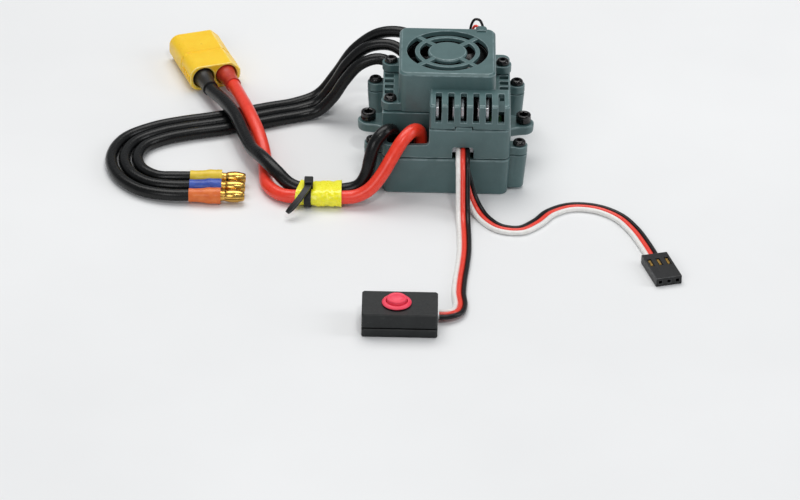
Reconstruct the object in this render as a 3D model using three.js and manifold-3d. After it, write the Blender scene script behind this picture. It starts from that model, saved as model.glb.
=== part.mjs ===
// Electronic speed controller for a model car: a three-shell plastic case with a fan
// over a finned heatsink, its boards, its screws, and the leads that leave it.
// Millimetres, +Z up, front towards -Y. Origin: the middle of the case's flat bottom.
import * as THREE from "three";
import { mergeVertices } from "three/addons/utils/BufferGeometryUtils.js";
import Module from "manifold-3d";

// ---- driving dimensions -------------------------------------------------------------
const caseWidth = 37.7;
const caseDepth = 46.5;
const cornerRadius = 2.4;
const wall = 1.5;
const seamGap = 0.3; // clearance between shells, and between touching pieces
const caseSeam = 12; // bottom case to middle case
const deckTop = 22; // top of the middle case
const lipTop = 16.4; // edge of the two wire notches
const cowlTop = 35;
const blockTop = 30; // slotted outlet block in front of the cowl
const draft = 0.5; // the bottom case narrows by this much on each side

const notchInner = { front: -5, rear: -1 }; // inner side of each notch in X
const notchDepth = { front: 9.5, rear: 8 };

const cowl = { width: 28.4, depth: 28.6, start: 9.8, wall: 1.45, roof: 1.5, radius: 2.5 };
const block = { left: -5, right: 18.5, depth: 9.8, wall: 1.4 };
const slot = { count: 6, pitch: 3.66, width: 1.75, bottom: 24.3, reach: 7.8 };
const louvre = { count: 5, pitch: 3.3, length: 2.6, width: 2, first: 19 };

const fanSize = 24.9;
const fanBore = 12;
const fanLow = 25.8;
const fanHigh = 32.9;
const fanFront = 24.2; // the fan's axis behind the front face
const pegReach = 10; // the fan's pegs from its axis, in X and in Y

const screwHead = { radius: 1.95, height: 1.25 };
const screwShank = 0.95;
const screwHole = screwShank + seamGap;
const bossRadius = 2.4;
const bossSeat = 14.7;
const lugRadius = 2.6;
const lugSeat = 24.6;
const caseScrews = [
  { name: "front_left", x: -21.55, behind: 5.1 },
  { name: "front_right", x: 21.55, behind: 5.1 },
  { name: "rear_left", x: -21.15, behind: 41.4 },
  { name: "rear_right", x: 21.15, behind: 41.4 },
];
const coverScrews = [
  { name: "front_left", x: -16.6, behind: 12.8 },
  { name: "rear_left", x: -16.6, behind: 35.8 },
  { name: "rear_right", x: 16.6, behind: 35.8 },
];

const earHole = 23; // the two mounting holes from the middle
const earRadius = 3.2;
const earLow = 9;
const earScrew = { head: 2.2, height: 2.5, shank: 1.2 };

const boardTop = 10.6; // upper, power board
const port = { left: 1.9, right: 8.1, low: 12, high: 16 };

const batteryWire = 4; // diameters
const motorWire = 3.5;
const fanWire = 0.8;
const ribbon = { width: 4.2, thick: 1.4 };

// ---- frame helpers ------------------------------------------------------------------
const half = caseWidth / 2;
const front = -caseDepth / 2;
const back = caseDepth / 2;
const slack = seamGap / 2;
const over = 1; // how far a cutter runs past what it cuts
const fromFront = (distance) => front + distance;

const wasm = await Module();
wasm.setup();

const group = new THREE.Group();

// ---- materials ----------------------------------------------------------------------
const finish = (color, roughness, metalness = 0) =>
  new THREE.MeshStandardMaterial({ color, roughness, metalness });
const housingPlastic = finish(0x4d6366, 0.45);
const aluminium = finish(0xc8cacc, 0.35, 1);
const blackSteel = finish(0x1c1c1e, 0.3, 0.9);
const brightSteel = finish(0xb8b8bc, 0.25, 1);
const brass = finish(0xc9a55a, 0.3, 1);
const copper = finish(0xb87348, 0.35, 1);
const blackPlastic = finish(0x1a1b1d, 0.4);
const boardGreen = finish(0x1f4a33, 0.5);
const padGrey = finish(0x9aa0a4, 0.8);
const canFoil = finish(0xb9bcc0, 0.3, 0.9);
const blackRubber = finish(0x17181a, 0.4);
const redRubber = finish(0xe23a26, 0.4);
const yellowPlastic = finish(0xf2c62a, 0.4);
const yellowFilm = finish(0xf4ec1e, 0.35);
const buttonRubber = finish(0xf04862, 0.5);
const shrinkRed = finish(0xc4402e, 0.5);
const shrinkBlack = finish(0x1d1d1f, 0.5);
const shrinkYellow = finish(0xe6c81c, 0.5);
const shrinkBlue = finish(0x2545a8, 0.5);
const shrinkOrange = finish(0xd9681e, 0.5);
const ribbonVinyl = finish(0xe8e6e2, 0.45);

// ---- solids: make, join, cut --------------------------------------------------------
function solid(geometry) {
  const bare = geometry.clone();
  bare.deleteAttribute("normal");
  bare.deleteAttribute("uv");
  const merged = mergeVertices(bare, 1e-4);
  return new wasm.Manifold(
    new wasm.Mesh({
      numProp: 3,
      vertProperties: new Float32Array(merged.attributes.position.array),
      triVerts: new Uint32Array(merged.index.array),
    }),
  );
}

function geometryOf(manifold) {
  const mesh = manifold.getMesh();
  const geometry = new THREE.BufferGeometry();
  geometry.setAttribute("position", new THREE.BufferAttribute(mesh.vertProperties, 3));
  geometry.setIndex(new THREE.BufferAttribute(mesh.triVerts, 1));
  geometry.computeVertexNormals();
  return geometry;
}

function shaped(added, removed = []) {
  let body = solid(added[0]);
  for (const geometry of added.slice(1)) {
    body = body.add(solid(geometry));
  }
  for (const geometry of removed) {
    body = body.subtract(solid(geometry));
  }
  return geometryOf(body);
}

function piece(name, geometry, material, parent = group) {
  const mesh = new THREE.Mesh(geometry, material);
  mesh.name = name;
  parent.add(mesh);
  return mesh;
}

function cuboid([x0, x1], [y0, y1], [z0, z1]) {
  const geometry = new THREE.BoxGeometry(x1 - x0, y1 - y0, z1 - z0);
  return geometry.translate((x0 + x1) / 2, (y0 + y1) / 2, (z0 + z1) / 2);
}

function rod(x, y, [z0, z1], radius, sides = 24, lowRadius = radius) {
  const geometry = new THREE.CylinderGeometry(radius, lowRadius, z1 - z0, sides);
  return geometry.rotateX(Math.PI / 2).translate(x, y, (z0 + z1) / 2);
}

// A profile of [radius, z] points turned about the vertical axis.
function turned(profile, sides = 24) {
  const points = profile.map(([radius, z]) => new THREE.Vector2(radius, z));
  return new THREE.LatheGeometry(points, sides).rotateX(Math.PI / 2);
}

function tubeRing(inner, outer, [z0, z1], sides = 24) {
  const profile = [[inner, z0], [outer, z0], [outer, z1], [inner, z1], [inner, z0]];
  return turned(profile, sides);
}

// A rectangle with round corners; a number or [front left, front right, rear right, rear left].
function roundedRectangle([x0, x1], [y0, y1], radii) {
  const [a, b, c, d] = Array.isArray(radii) ? radii : [radii, radii, radii, radii];
  const quarter = Math.PI / 2;
  const shape = new THREE.Shape();
  const corner = (x, y, radius, start) => {
    shape.lineTo(x + radius * Math.cos(start), y + radius * Math.sin(start));
    if (radius > 0) {
      shape.absarc(x, y, radius, start, start + quarter);
    }
  };
  shape.moveTo(x0 + a, y0);
  corner(x1 - b, y0 + b, b, -quarter);
  corner(x1 - c, y1 - c, c, 0);
  corner(x0 + d, y1 - d, d, quarter);
  corner(x0 + a, y0 + a, a, 2 * quarter);
  return shape;
}

function prism(shape, [z0, z1], bevel = 0, curveSegments = 5) {
  const geometry = new THREE.ExtrudeGeometry(shape, {
    depth: z1 - z0 - 2 * bevel,
    bevelEnabled: bevel > 0,
    bevelThickness: bevel,
    bevelSize: bevel,
    bevelOffset: -bevel,
    bevelSegments: 1,
    curveSegments,
  });
  return geometry.translate(0, 0, z0 + bevel);
}

// A shape drawn in X and Z, pushed back along +Y.
function frontPrism(shape, [y0, y1], curveSegments = 4) {
  const geometry = prism(shape, [0, y1 - y0], 0, curveSegments);
  return geometry.rotateX(Math.PI / 2).translate(0, y1, 0);
}

// A shape drawn in Y and Z, pushed along +X.
function sidePrism(shape, [x0, x1], curveSegments = 4) {
  const geometry = prism(shape, [x0, x1], 0, curveSegments);
  return geometry.rotateY(Math.PI / 2).rotateX(Math.PI / 2);
}

// ---- bottom case --------------------------------------------------------------------
const outline = roundedRectangle([-half, half], [front, back], cornerRadius);
const inside = roundedRectangle(
  [-half + wall, half - wall],
  [front + wall, back - wall],
  cornerRadius - wall / 2,
);

function withDraft(geometry) {
  const points = geometry.attributes.position;
  for (let i = 0; i < points.count; i += 1) {
    const share = 1 - Math.min(1, points.getZ(i) / caseSeam);
    points.setX(i, points.getX(i) * (1 - (draft * share) / half));
    points.setY(i, points.getY(i) * (1 - (draft * share) / back));
  }
  return geometry;
}

function boss({ x, behind }, [z0, z1], lowRadius = bossRadius) {
  const y = fromFront(behind);
  const inner = Math.sign(x) * (half - wall / 2);
  const sides = [Math.min(x, inner), Math.max(x, inner)];
  const web = bossRadius - 0.4;
  return [
    rod(x, y, [z0, z1], bossRadius, 16, lowRadius),
    cuboid(sides, [y - web, y + web], [z0, z1]),
  ];
}

function ear(side) {
  const reach = half - wall / 2;
  const root = 5.2; // half width where the ear meets the wall
  const shape = new THREE.Shape();
  shape.moveTo(reach, -root);
  shape.quadraticCurveTo(half + 1.2, -earRadius - 0.3, earHole, -earRadius);
  shape.absarc(earHole, 0, earRadius, -Math.PI / 2, Math.PI / 2);
  shape.quadraticCurveTo(half + 1.2, earRadius + 0.3, reach, root);
  const geometry = prism(shape, [earLow, caseSeam - slack], 0.25, 6);
  return side > 0 ? geometry : geometry.rotateZ(Math.PI);
}

const floorTop = 1.8;
const standoffTop = 3.7;
const shellTop = caseSeam - slack;
const trayBody = shaped([
  prism(outline, [0, shellTop], 0.35),
  ...caseScrews.flatMap((screw) => boss(screw, [0.8, shellTop], bossRadius - 0.3)),
  ear(1),
  ear(-1),
]);
const trayHoles = [
  prism(inside, [floorTop, shellTop + over]),
  rod(earHole, 0, [earLow - over, caseSeam], earScrew.shank + seamGap, 12),
  rod(-earHole, 0, [earLow - over, caseSeam], earScrew.shank + seamGap, 12),
  ...caseScrews.map(({ x, behind }) => rod(x, fromFront(behind), [4.5, caseSeam], screwHole, 10)),
];
const standoffs = [];
for (const x of [-15, 15]) {
  for (const behind of [4, 42]) {
    standoffs.push(rod(x, fromFront(behind), [floorTop - 0.5, standoffTop], 1.3, 8));
  }
}
piece(
  "bottom_case",
  shaped([shaped([withDraft(trayBody)], trayHoles), ...standoffs]),
  housingPlastic,
);

// ---- middle case --------------------------------------------------------------------
const middleLow = caseSeam + slack;
const middleHigh = deckTop - slack;
const partition = 1.3;
const deckLow = middleHigh - 1.3;

// The space that the wires rise through: open to the front or rear and to the left.
function notchCutter(end) {
  const inner = notchInner[end];
  const shape = roundedRectangle([-half - 5, inner], [lipTop, deckTop + 5], [0, 1.4, 0, 0]);
  return end === "front"
    ? frontPrism(shape, [front - over, fromFront(notchDepth.front)])
    : frontPrism(shape, [back - notchDepth.rear, back + over]);
}

// The walls that close the case off from each notch.
function notchWalls(end) {
  const inner = notchInner[end];
  const depth = notchDepth[end];
  const edge = end === "front" ? fromFront(depth) : back - depth;
  const towards = end === "front" ? 1 : -1;
  const crossWall = [edge, edge + towards * partition].sort((a, b) => a - b);
  const sideWall = (end === "front" ? [front, edge + partition] : [edge - partition, back]);
  const inset = towards * wall / 2;
  const sideSpan = [sideWall[0] + Math.max(0, inset), sideWall[1] + Math.min(0, inset)];
  return [
    cuboid([-half + wall / 2, inner + partition], crossWall, [middleLow, middleHigh]),
    cuboid([inner, inner + partition], sideSpan, [middleLow, middleHigh]),
  ];
}

const screwPosts = coverScrews.map(({ x, behind }) => {
  const centre = Math.sign(x) * 16.2;
  return rod(centre, fromFront(behind), [middleLow, middleHigh], 2.4, 12);
});
const seamTab = prism(
  roundedRectangle([2.7, 7.5], [front + 0.05, front + 1.3], [0, 0, 0.4, 0.4]),
  [middleHigh - 0.5, deckTop + 0.7],
);
const heatsinkWell = [
  cuboid([-12.8, 12.8], [fromFront(11), fromFront(36.9)], [middleHigh - 3, deckTop]),
  cuboid([-3.6, 17.1], [fromFront(1.6), fromFront(11.5)], [middleHigh - 3, deckTop]),
];
const louvres = [];
for (let i = 0; i < louvre.count; i += 1) {
  const y = fromFront(louvre.first + i * louvre.pitch);
  for (const side of [-1, 1]) {
    const outer = side * (half - 0.55);
    const inner = outer - side * louvre.length;
    const span = [Math.min(outer, inner), Math.max(outer, inner)];
    const gap = [y - louvre.width / 2, y + louvre.width / 2];
    louvres.push(cuboid(span, gap, [middleHigh - 3, deckTop]));
  }
}
const fanLeadHole = cuboid([5.6, 8.8], [fromFront(40.2), fromFront(43)], [19, deckTop + over]);
const portHole = frontPrism(
  roundedRectangle([port.left, port.right], [port.low, port.high], [0, 0, 0.8, 0.8]),
  [front - over, fromFront(wall + over)],
);
piece(
  "middle_case",
  shaped(
    [
      shaped([prism(outline, [middleLow, middleHigh], 0.3)], [prism(inside, [10, deckLow])]),
      ...notchWalls("front"),
      ...notchWalls("rear"),
      seamTab,
      ...screwPosts,
      ...caseScrews.flatMap((screw) => boss(screw, [middleLow, bossSeat])),
    ],
    [
      notchCutter("front"),
      notchCutter("rear"),
      ...heatsinkWell,
      ...louvres,
      fanLeadHole,
      portHole,
      ...coverScrews.map(({ x, behind }) => rod(x, fromFront(behind), [16, 24], screwHole, 10)),
      ...caseScrews.map(({ x, behind }) => rod(x, fromFront(behind), [10, 16], screwHole, 10)),
    ],
  ),
  housingPlastic,
);

// ---- fan cover: cowl, grille, outlet block and lugs ---------------------------------
const coverLow = deckTop + slack;
const cowlRear = cowl.start + cowl.depth;
const fanY = fromFront(fanFront);
const roofLow = cowlTop - cowl.roof;

function cowlPrism(inset, [z0, z1], bevel) {
  const side = cowl.width / 2 - inset;
  const shape = roundedRectangle(
    [-side, side],
    [fromFront(cowl.start + inset), fromFront(cowlRear - inset)],
    cowl.radius - inset / 2,
  );
  return prism(shape, [z0, z1], bevel);
}

function lug({ x, behind }) {
  const y = fromFront(behind);
  const inner = Math.sign(x) * (cowl.width / 2 - cowl.wall / 2);
  const span = [Math.min(x, inner), Math.max(x, inner)];
  return [
    rod(x, y, [coverLow, lugSeat], lugRadius),
    cuboid(span, [y - lugRadius + 0.2, y + lugRadius - 0.2], [coverLow, lugSeat]),
  ];
}

function spoke(angle, [inner, outer], [z0, z1], width) {
  const bar = cuboid([inner, outer], [-width / 2, width / 2], [z0, z1]);
  return bar.rotateZ(angle).translate(0, fanY, 0);
}

const grilleLow = roofLow + 0.1;
const grilleHigh = cowlTop - 0.25;
const hub = { radius: 5.8, top: cowlTop - 0.1 };
const grille = [
  tubeRing(8.2, 9.6, [grilleLow, grilleHigh], 64).translate(0, fanY, 0),
  turned(
    [[0, grilleLow], [hub.radius, grilleLow], [hub.radius, hub.top - 0.4],
      [hub.radius - 0.4, hub.top], [0, hub.top]],
    48,
  ).translate(0, fanY, 0),
];
const pegs = [];
for (let i = 0; i < 4; i += 1) {
  const angle = Math.PI / 4 + (i * Math.PI) / 2;
  grille.push(spoke(angle, [hub.radius - 0.5, fanBore + 0.5], [grilleLow, grilleHigh], 1.6));
  const x = pegReach * Math.sign(Math.cos(angle));
  const y = fanY + pegReach * Math.sign(Math.sin(angle));
  pegs.push(rod(x, y, [27.5, roofLow + 0.5], 1, 8));
}

const blockShape = roundedRectangle(
  [block.left, block.right],
  [front, fromFront(block.depth + over)],
  [0.9, 1.2, 0, 0],
);
const blockSlots = [];
for (let i = 0; i < slot.count; i += 1) {
  const middle = (block.left + block.right) / 2 + (i - (slot.count - 1) / 2) * slot.pitch;
  const span = [middle - slot.width / 2, middle + slot.width / 2];
  blockSlots.push(
    cuboid(span, [front - over, fromFront(block.wall + over)], [slot.bottom, blockTop + over]),
    prism(
      roundedRectangle(span, [front - over, fromFront(slot.reach)], [0, 0, 0.5, 0.5]),
      [blockTop - block.wall - over, blockTop + over],
      0,
      2,
    ),
  );
}
const leadBump = frontPrism(
  roundedRectangle([8.3, 11.7], [roofLow, cowlTop + 0.6], [0, 0, 1.1, 1.1]),
  [fromFront(cowlRear - 2.4), fromFront(cowlRear + 0.3)],
);
const leadSlot = cuboid([8.75, 11.3], [fromFront(35), fromFront(40)], [roofLow - 0.1, 34.85]);

const coverShell = shaped(
  [
    cowlPrism(0, [deckTop - 2, cowlTop], 0.7),
    prism(blockShape, [deckTop - 2, blockTop], 0.5),
    leadBump,
  ],
  [
    cuboid([-30, 30], [-30, 30], [deckTop - 5, coverLow]),
    cowlPrism(cowl.wall, [deckTop - 2, roofLow], 0),
    cuboid(
      [block.left + block.wall, block.right - block.wall],
      [front + block.wall, fromFront(cowl.start + cowl.wall + 0.3)],
      [deckTop - 2, blockTop - block.wall],
    ),
    cuboid([2.4, 7.8], [front - over, fromFront(block.wall + 0.1)], [deckTop - 1, deckTop + 1]),
    rod(0, fanY, [roofLow - over, cowlTop + over], fanBore, 64),
    ...blockSlots,
  ],
);
piece(
  "fan_cover",
  shaped(
    [coverShell, ...grille, ...pegs, ...coverScrews.flatMap((screw) => lug(screw))],
    [
      leadSlot,
      ...coverScrews.map(({ x, behind }) =>
        rod(x, fromFront(behind), [coverLow - over, lugSeat + over], screwHole, 10)),
    ],
  ),
  housingPlastic,
);

// ---- heatsink and the boards under it -----------------------------------------------
const heatsink = { low: 13.2, base: 15.2, fanSide: 25.4, blockSide: 28.2, fin: 0.9, pitch: 2.44 };

function combSection([x0, x1], top) {
  const shape = new THREE.Shape();
  const count = Math.floor((x1 - x0 - heatsink.fin) / heatsink.pitch) + 1;
  shape.moveTo(x0, heatsink.low);
  shape.lineTo(x1, heatsink.low);
  shape.lineTo(x1, heatsink.base);
  for (let i = count - 1; i >= 0; i -= 1) {
    const left = x0 + i * heatsink.pitch;
    const right = Math.min(left + heatsink.fin, x1);
    shape.lineTo(right, heatsink.base);
    shape.lineTo(right, top);
    shape.lineTo(left, top);
    shape.lineTo(left, heatsink.base);
  }
  return shape;
}

const underFan = 12.35;
const fanComb = combSection([-underFan, underFan], heatsink.fanSide);
const blockComb = combSection([-3.2, 16.7], heatsink.blockSide);
piece(
  "heatsink",
  shaped([
    frontPrism(fanComb, [fromFront(12), fromFront(35.8)]),
    frontPrism(blockComb, [fromFront(2.1), fromFront(11.5)]),
    cuboid([-3.2, underFan], [fromFront(11.2), fromFront(12.3)], [heatsink.low, heatsink.base]),
  ]),
  aluminium,
);
piece(
  "thermal_pad",
  cuboid([-11.5, 11.5], [fromFront(12), fromFront(36)], [12.4, heatsink.low - seamGap]),
  padGrey,
);

const boardHalf = 16.6;
const boardSpan = [fromFront(2.2), fromFront(44.3)];
piece("power_board", cuboid([-boardHalf, boardHalf], boardSpan, [9, boardTop]), boardGreen);
piece(
  "control_board",
  cuboid([-boardHalf, boardHalf], boardSpan, [standoffTop + seamGap, 5.4]),
  boardGreen,
);

// Twelve power transistors soldered to one copper plate.
const transistors = [cuboid([-11, 11], [fromFront(13), fromFront(35)], [boardTop + seamGap, 11.15])];
for (let row = 0; row < 3; row += 1) {
  for (let column = 0; column < 4; column += 1) {
    const x = -10 + column * 5.2;
    const y = fromFront(14.2 + row * 7.2);
    transistors.push(cuboid([x, x + 4.4], [y, y + 5.2], [11, 12.1]));
  }
}
piece("power_transistors", shaped(transistors), blackPlastic);

function capacitor(name, x, behind, radius, top) {
  const low = boardTop + seamGap;
  const profile = [[0, low], [radius, low], [radius, top - 0.35], [radius - 0.35, top], [0, top]];
  piece(name, turned(profile, 16).translate(x, fromFront(behind), 0), canFoil);
}
capacitor("capacitor_front", -11.2, 3.9, 2, 17);
capacitor("capacitor_rear_left", 3.6, 41.8, 1.8, 19);
capacitor("capacitor_rear_right", 13, 41.6, 2.4, 20);

// ---- fan ----------------------------------------------------------------------------
const fanHub = { radius: 5.3, low: 27.3, roof: 31.6, top: 32.5, inner: 4.6 };
const bearing = { inner: 1.05, outer: 2, tube: 2.9 };
const fanFrameBody = shaped(
  [
    shaped(
      [
        prism(
          roundedRectangle(
            [-fanSize / 2, fanSize / 2],
            [fanY - fanSize / 2, fanY + fanSize / 2],
            2,
          ),
          [fanLow, fanHigh],
        ),
      ],
      [
        rod(0, fanY, [fanLow - over, fanHigh + over], fanBore, 36),
        ...[-1, 1].flatMap((sx) =>
          [-1, 1].map((sy) =>
            rod(sx * pegReach, fanY + sy * pegReach, [fanLow - over, fanHigh + over], 1.35, 8))),
      ],
    ),
    rod(0, fanY, [fanLow, fanLow + 1], fanHub.radius, 20),
    rod(0, fanY, [fanLow, 30.6], bearing.tube, 16),
    ...[0, 1, 2, 3].map((i) => {
      const angle = (i * Math.PI) / 2 + 0.3;
      return spoke(angle, [fanHub.radius - 0.5, fanBore + 0.1], [fanLow, fanLow + 1], 1.4);
    }),
  ],
  [rod(0, fanY, [fanLow + 0.6, 32], bearing.outer + seamGap, 16)],
);
piece("fan_frame", fanFrameBody, blackPlastic);

function blade(angle) {
  const low = fanHub.low + 0.3;
  const high = fanHub.top - 0.4;
  const shape = new THREE.Shape();
  const lean = 3.4;
  const thick = 0.75;
  shape.moveTo(-lean, low);
  shape.quadraticCurveTo(lean * 0.45, low + 1.2, lean, high);
  shape.lineTo(lean + thick, high);
  shape.quadraticCurveTo(lean * 0.45 + thick * 1.3, low + 0.6, -lean + thick, low);
  const geometry = frontPrism(shape, [fanHub.radius - 0.9, 11.4], 3);
  return geometry.rotateZ(angle).translate(0, fanY, 0);
}

const bladeCount = 7;
const rotorParts = [
  turned(
    [[0, fanHub.roof], [fanHub.inner, fanHub.roof], [fanHub.inner, fanHub.low],
      [fanHub.radius, fanHub.low], [fanHub.radius, fanHub.top - 0.4],
      [fanHub.radius - 0.4, fanHub.top], [0, fanHub.top]],
    24,
  ).translate(0, fanY, 0),
];
for (let i = 0; i < bladeCount; i += 1) {
  rotorParts.push(blade((i * 2 * Math.PI) / bladeCount));
}
const hubBore = rod(0, fanY, [fanLow, fanHub.roof], fanHub.inner, 24);
const tipTrim = tubeRing(11.5, 14, [fanLow, fanHigh], 24).translate(0, fanY, 0);
piece("fan_rotor", shaped(rotorParts, [hubBore, tipTrim]), blackPlastic);
piece("fan_shaft", rod(0, fanY, [27, fanHub.roof - seamGap], 0.75, 10), brightSteel);
piece(
  "fan_bearing",
  tubeRing(bearing.inner, bearing.outer, [27, 30.4], 14).translate(0, fanY, 0),
  brass,
);
piece(
  "fan_coil",
  tubeRing(bearing.tube + seamGap, fanHub.inner - seamGap, [27.4, 30.6], 16).translate(0, fanY, 0),
  copper,
);

// ---- screws -------------------------------------------------------------------------
// A button head with a hexagon socket, on a round shank.
function buttonScrew(name, x, behind, seat, length) {
  const { radius, height } = screwHead;
  const top = seat + seamGap + height;
  const profile = [
    [0, seat - length],
    [screwShank, seat - length],
    [screwShank, seat + seamGap],
    [radius, seat + seamGap],
    [radius - 0.1, seat + seamGap + 0.6],
    [radius - 0.6, top - 0.15],
    [0, top],
  ];
  const socket = rod(0, 0, [top - 0.8, top + over], 0.75, 6);
  const geometry = shaped([turned(profile, 12)], [socket]);
  piece(name, geometry.translate(x, fromFront(behind), 0), blackSteel);
}
for (const { name, x, behind } of caseScrews) {
  buttonScrew(`case_screw_${name}`, x, behind, bossSeat, 9);
}
for (const { name, x, behind } of coverScrews) {
  buttonScrew(`cover_screw_${name}`, x, behind, lugSeat, 7);
}

// A cylinder-head cap screw with a hexagon socket, one in each mounting ear.
function capScrew(name, x) {
  const seat = caseSeam - slack + seamGap;
  const top = seat + earScrew.height;
  const profile = [[0, earLow + 0.2], [earScrew.shank, earLow + 0.2], [earScrew.shank, seat],
    [earScrew.head, seat], [earScrew.head, top - 0.3], [earScrew.head - 0.3, top], [0, top]];
  const socket = rod(0, 0, [top - 1.3, top + over], 1.15, 6);
  piece(name, shaped([turned(profile, 16)], [socket]).translate(x, 0, 0), blackSteel);
}
capScrew("mounting_screw_left", -earHole);
capScrew("mounting_screw_right", earHole);

// ---- cords --------------------------------------------------------------------------
// A route is a list of [x, distance in front (-) of or behind (+) the front face, z].
function routePoints(route) {
  return route.map(([x, behind, z]) => new THREE.Vector3(x, fromFront(behind), z));
}

// The same floor run for a neighbour, moved aside by share times each point's spread; a
// point's fifth number is how far the pair has rolled over itself there, in half turns.
function beside(run, share) {
  return run.map(([x, behind, z, spread, rolled = 0], i) => {
    const before = run[Math.max(0, i - 1)];
    const after = run[Math.min(run.length - 1, i + 1)];
    const along = Math.hypot(after[0] - before[0], after[1] - before[1]);
    const aside = (share * spread * Math.cos(Math.PI * rolled)) / along;
    const drop = share * spread * Math.sin(Math.PI * rolled);
    return [
      x - aside * (after[1] - before[1]),
      behind + aside * (after[0] - before[0]),
      z - drop,
    ];
  });
}

function cord(name, route, diameter, steps, material, sides = 8) {
  const section = new THREE.Shape();
  for (let i = 0; i < sides; i += 1) {
    const turn = (i * 2 * Math.PI) / sides;
    const x = (diameter / 2) * Math.cos(turn);
    const y = (diameter / 2) * Math.sin(turn);
    if (i === 0) section.moveTo(x, y);
    else section.lineTo(x, y);
  }
  const extrudePath = new THREE.CatmullRomCurve3(routePoints(route), false, "centripetal");
  piece(name, new THREE.ExtrudeGeometry(section, { steps, extrudePath }), material);
}

// A route whose frames keep a flat cord's width level all along.
class LevelRoute extends THREE.CatmullRomCurve3 {
  computeFrenetFrames(segments) {
    const frames = { tangents: [], normals: [], binormals: [] };
    for (let i = 0; i <= segments; i += 1) {
      const along = this.getTangentAt(i / segments);
      const side = new THREE.Vector3(-along.y, along.x, 0).normalize();
      frames.tangents.push(along);
      frames.normals.push(side);
      frames.binormals.push(new THREE.Vector3().crossVectors(along, side));
    }
    return frames;
  }
}

// A flat three-core lead.
function flatCord(name, route, steps) {
  const w = ribbon.width / 2;
  const t = ribbon.thick / 2;
  const cut = 0.45;
  const section = new THREE.Shape();
  section.moveTo(-w, -t + cut);
  section.lineTo(-w + cut, -t);
  section.lineTo(w - cut, -t);
  section.lineTo(w, -t + cut);
  section.lineTo(w, t - cut);
  section.lineTo(w - cut, t);
  section.lineTo(-w + cut, t);
  section.lineTo(-w, t - cut);
  const extrudePath = new LevelRoute(routePoints(route), false, "centripetal");
  piece(name, new THREE.ExtrudeGeometry(section, { steps, extrudePath }), ribbonVinyl);
}

// A group at the end of a cord, its +X pointing the way the cord runs.
function endGroup(x, behind, z, angle) {
  const end = new THREE.Group();
  end.position.set(x, fromFront(behind), z);
  end.rotation.z = angle;
  group.add(end);
  return end;
}

// Solder posts on the power board, one under each wire.
const posts = [
  { name: "battery_terminal_red", x: -7.3, behind: 6.1, radius: 1.6 },
  { name: "battery_terminal_black", x: -15, behind: 6.1, radius: 1.6 },
  { name: "motor_terminal_left", x: -14.2, behind: 42, radius: 1.3 },
  { name: "motor_terminal_middle", x: -9.8, behind: 42, radius: 1.3 },
  { name: "motor_terminal_right", x: -5.4, behind: 42, radius: 1.3 },
];
for (const { name, x, behind, radius } of posts) {
  piece(name, rod(x, fromFront(behind), [boardTop + seamGap, 12.2], radius, 10), brass);
}

// ---- battery leads, tag, tie and plug -----------------------------------------------
const wireStart = 12.5;
const plugAngle = Math.atan2(0.94, -0.34);
const batteryRun = [
  [-29.5, -5.8, 3.05, 2.2, 0],
  [-35.5, -5.8, 2.95, 2.2, 0],
  [-41.2, -5.7, 2.85, 2.2, 0],
  [-46.6, -4, 2.95, 2.3, 0.1],
  [-50.8, 0.6, 4, 2.4, 0.3],
  [-53.4, 7.6, 4.5, 2.4, 0.55],
  [-55.4, 15.4, 4.4, 2.4, 0.8],
  [-57.8, 24.4, 5.4, 2.3, 0.95],
  [-60.6, 33.6, 6.3, 2.2, 1],
  [-63.9, 43.6, 5.6, 2.7, 1],
  [-67.5, 53.7, 4.2, 3.6, 1],
  [-69.8, 60, 4.1, 3.6, 1],
  [-72.1, 66.4, 4.1, 3.6, 1],
];
const redRise = [
  [-7.3, 6.1, wireStart],
  [-7.4, 6, 15.6],
  [-8, 5, 18.4],
  [-9.7, 2.7, 19.9],
  [-12.6, -0.7, 18.6],
  [-15.6, -3.8, 14.6],
  [-18.6, -6, 9.8],
  [-22, -7.5, 5.8],
  [-25.8, -8, 3.6],
];
const blackRise = [
  [-15, 6.1, wireStart],
  [-15.1, 5.9, 15.8],
  [-15.9, 4.6, 18.7],
  [-18, 1.8, 19.7],
  [-20.6, -0.7, 17.6],
  [-22, -2.2, 13.2],
  [-23, -3.1, 8.4],
  [-25.2, -3.6, 4.6],
];
const plugEnd = batteryRun.length - 1;
cord("battery_wire_red", [...redRise, ...beside(batteryRun, 1)], batteryWire, 30, redRubber);
cord("battery_wire_black", [...blackRise, ...beside(batteryRun, -1)], batteryWire, 30, blackRubber);

// A flattened sleeve round the pair, along X.
const pair = { behind: -5.8, z: 2.95, width: batteryWire + 4.4, height: batteryWire };

function pairWrap(name, [x0, x1], skin, material, extra = []) {
  const y = fromFront(pair.behind);
  const section = (gap) => {
    const w = pair.width / 2 + gap;
    const h = pair.height / 2 + gap;
    return roundedRectangle([y - w, y + w], [pair.z - h, pair.z + h], h - 0.05);
  };
  const outer = sidePrism(section(seamGap + skin), [x0, x1]);
  const hole = sidePrism(section(seamGap), [x0 - over, x1 + over]);
  piece(name, shaped([outer, ...extra], [hole]), material);
}
pairWrap("wire_tag", [-38.2, -30.2], 0.4, yellowFilm);
const tieHead = cuboid([-41.2, -38.6], [fromFront(-7.6), fromFront(-4)], [5.35, 7.75]);
pairWrap("cable_tie", [-40.9, -38.9], 0.6, blackPlastic, [tieHead]);

// The power plug: a keyed shell with a cup for each sleeved wire and a socket in front.
const plug = {
  length: 22, width: 15.9, height: 8.1, pitch: 7.2, round: 3.2, key: 2.6, cup: 3.35, cupDepth: 6,
};
const shrunk = { back: 12.8, length: 12.6, radius: 3 };
const pin = { radius: 1.75, length: 12.5 };
const plugAt = batteryRun[plugEnd];
const plugGroup = endGroup(plugAt[0], plugAt[1], plugAt[2], plugAngle);

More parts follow.
